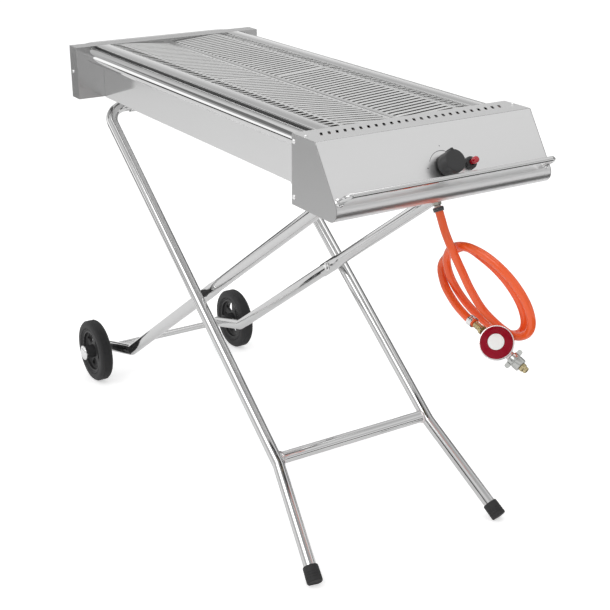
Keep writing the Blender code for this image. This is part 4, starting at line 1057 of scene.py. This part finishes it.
def clamp_profile(length, ribs):
    """A crimped sleeve: a thin ring with shallow grooves."""
    inner = HOSE_R + 0.0002
    outer = HOSE_R + 0.0024
    profile = [(inner, 0.0), (outer - 0.0003, 0.0), (outer, 0.0003)]
    for k in range(ribs):
        z = length * (k + 0.75) / (ribs + 0.5)
        profile += [(outer, z - 0.0006), (outer - 0.0006, z), (outer, z + 0.0006)]
    profile += [(outer, length - 0.0003), (outer - 0.0003, length), (inner, length)]
    return profile


def make_inlet():
    stub = [
        (0.0, GAP), (0.0062, GAP), (0.0062, 0.0026), (0.0078, 0.003), (0.0085, 0.0038),
        (0.0085, 0.0112), (0.0078, 0.012), (0.0055, 0.0124), (0.0055, 0.042), (0.0, 0.042),
    ]
    parts = [BOX, ["hose_inlet"], 25, 0.0003]
    add_turned("inlet_fitting", stub, INLET_END, -INLET_DIR, 6, "fitting", *parts)
    parts = ["steel_dark", BOX, ["hose_clamp_inlet"], 35]
    start = INLET_END + INLET_DIR * 0.0006
    return add_turned("inlet_clamp", clamp_profile(0.0075, 2), start, INLET_DIR, 48, *parts, closed=True)


def make_regulator():
    """The pieces at the hose's far end, in order from its clamp to the regulator's tip."""
    pieces = []

    def add(*args, closed=False):
        pieces.append(add_turned(*args, closed=closed))
        return pieces[-1]

    hose_end, before = hose_route()[-1], hose_route()[-2]
    run = (hose_end - before).normalized()
    parts = ["bright", BOX, ["hose_clamp_regulator"], 35]
    add("regulator_clamp", clamp_profile(0.011, 2), hose_end - run * 0.013, run, 48, *parts, closed=True)

    bore = REG_CENTRE - REG_FACE * REG_BORE_DEPTH
    port_in = bore + REG_AXIS * REG_PORT[0]
    port_out = bore + REG_AXIS * REG_PORT[1]
    reach = port_in - hose_end
    tail_len = reach.length - 0.001
    tail = [(0.0, 0.0)]
    for k in range(3):
        z = tail_len * k / 4
        tail += [(0.0052, z), (0.0066, z + tail_len * 0.1)]
        tail += [(0.0066, z + tail_len * 0.16), (0.0052, z + tail_len * 0.2)]
    tail += [(0.0082, tail_len * 0.78), (0.0082, tail_len * 0.98), (0.0, tail_len)]
    start = hose_end + reach.normalized() * 0.0006
    add("regulator_tail_brass", tail, start, reach, 32, "brass", BOX, ["regulator_tail"], 30)

    casting = [
        (0.0, -0.015), (0.015, -0.015), (0.0175, -0.0144), (0.0215, -0.0115), (0.0255, -0.006),
        (0.028, -0.0036), (REG_R + 0.001, -0.0026), (REG_R + 0.0015, -0.0018),
        (REG_R + 0.0015, 0.0016), (REG_R + 0.0009, 0.0024), (0.0292, 0.0026), (0.0, 0.0026),
    ]
    middle = (REG_CENTRE, REG_FACE)
    body = add("regulator_casting", casting, *middle, 96, "zinc", BOX, ["regulator_body"], 35)
    port = bmesh.new()
    along = [(0.0, 0.0), (0.0074, 0.0), (0.008, 0.0006), (0.008, 0.012), (0.0092, 0.014)]
    span = REG_PORT[1] - REG_PORT[0]
    along += [(0.0092, span - 0.014), (0.0084, span - 0.0125), (0.0084, span - 0.0006)]
    along += [(0.0078, span), (0.0, span)]
    lathe(along, port_in, REG_AXIS, 40, bm=port)
    join(body, port)

    dome = [
        (0.0, 0.0028), (0.029, 0.0028), (0.029, 0.0038), (0.0281, 0.0052), (0.0258, 0.0072),
        (0.023, 0.0088), (0.0195, 0.0103), (0.0168, 0.0113), (0.0156, 0.0122), (0.0149, 0.0122),
        (0.0147, 0.0112), (0.0, 0.011),
    ]
    add("regulator_dome", dome, *middle, 96, "dark_red", BOX, ["regulator_cap"], 35)
    disc = [(0.0, 0.0112), (0.0143, 0.0112), (0.0143, 0.0121)]
    disc += [(0.0139, 0.0124), (0.007, 0.0127), (0.0, 0.0127)]
    add("regulator_plate", disc, *middle, 64, "label", BOX, ["regulator_disc"], 35)
    across = REG_AXIS.cross(REG_FACE)
    for k in range(6):
        turn = 2 * math.pi * (k + 0.25) / 6
        outward = REG_AXIS * math.cos(turn) + across * math.sin(turn)
        at = REG_CENTRE + outward * 0.03 + REG_FACE * 0.0024
        rivet = [(0.0, 0.0), (0.001, 0.0), (0.0008, 0.0005), (0.0, 0.0007)]
        add(f"regulator_rivet_{k + 1}", rivet, at, REG_FACE, 16, "bright", BOX)

    nut_start = port_out + REG_AXIS * GAP
    nut = [
        (0.0, 0.0), (0.0104, 0.0), (0.0114, 0.0008), (0.0118, 0.0016), (0.0118, 0.0098),
        (0.0112, 0.0104), (0.0112, 0.011), (0.012, 0.0118), (0.012, 0.0215), (0.0114, 0.0232),
        (0.01, NUT_LEN), (0.0, NUT_LEN),
    ]
    parts = ["nut", "coupling_nut", ["regulator_nut"], 35]
    piece = add("regulator_wing_nut", nut, nut_start, REG_AXIS, 48, *parts)
    wings = bmesh.new()
    wing = [(-0.001, 0.0006), (-0.02, 0.0012), (-0.02, 0.0092), (-0.001, 0.0108)]
    outline = round_2d(wing, 0.003, 5)
    outline += [(-a, b) for a, b in outline[::-1]]
    prism(outline, "X", -0.0026, 0.0026, wings)
    placed(wings, nut_start, REG_FACE, across, REG_AXIS)
    join(piece, wings)
    add_bevel(piece, 0.0005)
    spigot = [
        (0.0, 0.0), (0.0072, 0.0), (0.0076, 0.0005), (0.0076, 0.005), (0.007, 0.0058),
        (0.006, 0.0072), (0.006, 0.01), (0.0056, 0.0118), (0.004, 0.0128), (0.003, 0.013),
        (0.0028, 0.0112), (0.0, 0.011),
    ]
    start = nut_start + REG_AXIS * (NUT_LEN + GAP)
    add("regulator_tip", spigot, start, REG_AXIS, 40, "brass", BOX, ["regulator_spigot"], 35)
    return pieces


INLET_CLAMP = make_inlet()
CORD_PIECES = make_regulator()
make_trough()
make_control_cover()
make_vent_shade_sheet()
make_side_covers()
make_rails_and_handle()
make_cooking_grids()
make_knob()
make_dial_marks()
make_igniter()
make_screws()
make_foot_frame()
make_foot_caps()
make_wheel_frame()
make_pivot_hardware()
for side_name, side_sign in SIDES.items():
    make_wheel(side_name, side_sign)

# The rear end plate takes the darker end copy of the stainless: painted shade.
dress(MATS["end"], 0.0006, "rear_end_plate")
dress(MATS["sheet_y"], 0.0003, "front_wall")
# Dull heated steel, darkened further as painted shade under the grids.
dress(MATS["inside"], 0.0004, "heat_plate_near", "heat_plate_far", "fat_tray")
dress(MATS["inside"], 0.0, "burner_near", "burner_far")
dress(MATS["brass"], 0.0003, "gas_manifold", "gas_valve")
dress(MATS["bright"], 0.0004, "valve_spindle", "axle", "catch_pin_near", "catch_pin_far")
for place in ("hinge_saddle", "front_catch"):
    dress(MATS["sheet_y"], 0.0005, f"{place}_near", f"{place}_far")
dress(MATS["ceramic"], 0.0003, "igniter_electrode")
dress(MATS["black"], 0.0, "igniter_lead")


# ---- floor, world and light
def add_plane(name, size):
    mesh = bpy.data.meshes.new(name)
    w, h = size[0] / 2, size[1] / 2
    mesh.from_pydata([(-w, -h, 0), (w, -h, 0), (w, h, 0), (-w, h, 0)], [], [(0, 1, 2, 3)])
    return add_object(name, mesh)


def make_floor():
    floor = add_plane("floor", (28.0, 28.0))
    floor.location.z = -0.0005
    mat = plastic("floor_paper", (0.9, 0.9, 0.9), 0.95, 300.0, 0.00002, vary=0.004)
    nodes, links = mat.node_tree.nodes, mat.node_tree.links
    shader = nodes["Principled BSDF"]
    shader.inputs["Specular IOR Level"].default_value = 0.0
    shader.inputs["Emission Color"].default_value = (1.0, 1.0, 1.0, 1.0)
    path = nodes.new("ShaderNodeLightPath")
    lift = ramp_between(nodes, links, path.outputs["Is Camera Ray"], *FLOOR_LIFT)
    links.new(lift, shader.inputs["Emission Strength"])
    floor.data.materials.append(mat)


# Height of the view direction, from straight down at 0 to straight up at 1, and its brightness.
SKY_STOPS = (
    (0.0, 0.6), (0.49, 1.0), (0.52, 1.15), (0.56, 0.95), (0.62, 0.5), (0.69, 0.6), (0.76, 0.9),
    (0.84, 0.9), (1.0, 0.35),
)


def make_world():
    """White for the camera; reflections see a sky with darker bands."""
    world = bpy.data.worlds.new("studio")
    SCENE.world = world
    world.use_nodes = True
    nodes, links = world.node_tree.nodes, world.node_tree.links
    background = nodes["Background"]
    coords = nodes.new("ShaderNodeTexCoord")
    split = nodes.new("ShaderNodeSeparateXYZ")
    links.new(coords.outputs["Generated"], split.inputs[0])
    ramp = nodes.new("ShaderNodeValToRGB")
    elements = ramp.color_ramp.elements
    while len(elements) < len(SKY_STOPS):
        elements.new(0.5)
    for element, (place, value) in zip(elements, SKY_STOPS):
        element.position = place
        element.color = (value, value, value, 1.0)
    links.new(ramp_between(nodes, links, split.outputs["Z"], 0.0, 1.0, -1.0, 1.0), ramp.inputs["Fac"])
    links.new(ramp.outputs["Color"], background.inputs["Color"])
    background.inputs["Strength"].default_value = WORLD_STRENGTH
    white = nodes.new("ShaderNodeBackground")
    white.inputs["Color"].default_value = (1.0, 1.0, 1.0, 1.0)
    path = nodes.new("ShaderNodeLightPath")
    mix = nodes.new("ShaderNodeMixShader")
    links.new(path.outputs["Is Camera Ray"], mix.inputs[0])
    links.new(background.outputs["Background"], mix.inputs[1])
    links.new(white.outputs["Background"], mix.inputs[2])
    links.new(mix.outputs["Shader"], nodes["World Output"].inputs["Surface"])


def aim(obj, at, target):
    obj.location = at
    obj.rotation_euler = (Vector(target) - Vector(at)).to_track_quat("-Z", "Y").to_euler()


def make_light(name, at, target, size, power):
    light = bpy.data.lights.new(name, "AREA")
    light.shape = "RECTANGLE"
    light.size, light.size_y = size
    light.energy = power
    obj = add_object(name, light)
    aim(obj, at, target)
    obj.visible_camera = False


def make_card(name, at, target, size, value):
    """A plain card beside the set, unseen by the camera, for the dark edges in bright metal."""
    card = add_plane(name, size)
    mat, nodes, links, shader = new_material(name)
    shader.inputs["Base Color"].default_value = (0.0, 0.0, 0.0, 1.0)
    shader.inputs["Specular IOR Level"].default_value = 0.0
    shader.inputs["Emission Color"].default_value = (1.0, 1.0, 1.0, 1.0)
    shader.inputs["Emission Strength"].default_value = value
    card.data.materials.append(mat)
    aim(card, at, target)
    card.visible_camera = False
    card.visible_shadow = False
    card.visible_diffuse = False


WORLD_STRENGTH = 0.95
FLOOR_LIFT = (0.1, 0.5)    # the floor's own light in reflections, and to the camera
make_floor()
make_world()
make_light("key", (0.6, -2.6, 3.2), (0.0, 0.0, 0.5), (2.4, 1.6), 26)
make_light("top", (-0.2, 0.3, 3.6), (0.0, 0.0, 0.6), (3.0, 2.0), 22)
# Name, place, the point it faces, width and height in metres, and its brightness.
CARDS = (
    ("left", (-2.6, -2.0, 0.22), (0.0, 0.0, 0.6), (1.8, 0.44), 0.03),
    ("left_white", (-2.7, -2.1, 1.0), (0.0, 0.0, 0.8), (2.0, 0.9), 1.35),
    ("left_high", (-2.4, -1.2, 2.3), (0.0, 0.0, 0.8), (1.6, 0.9), 0.22),
    ("right", (1.3, 2.9, 0.9), (0.0, 0.0, 0.6), (1.2, 1.6), 0.02),
    ("far_high", (-0.4, 2.7, 1.75), (0.0, 0.0, 0.5), (2.2, 0.8), 0.08),
    ("far", (-1.6, 2.8, 0.45), (0.0, 0.0, 0.45), (2.8, 1.1), 0.06),
    ("front", (2.9, -0.2, 0.5), (0.0, 0.0, 0.5), (0.7, 0.9), 0.02),
    ("near", (0.7, -2.9, 0.5), (0.0, 0.0, 0.5), (0.7, 0.9), 0.04),
    ("nose", (3.1, 1.5, 1.02), (0.6, 0.0, 0.76), (2.6, 0.34), 0.6),
    ("nose_low", (1.36, 0.75, 0.03), (1.36, 0.76, 1.0), (1.24, 1.7), 0.08),
    ("rear", (-3.0, 0.8, 0.28), (0.0, 0.0, 0.5), (2.4, 0.45), 0.08),
)
for card_name, place, target, size, value in CARDS:
    make_card(f"card_{card_name}", place, target, size, value)
SCENE.view_settings.view_transform = "Standard"
SCENE.view_settings.look = "None"
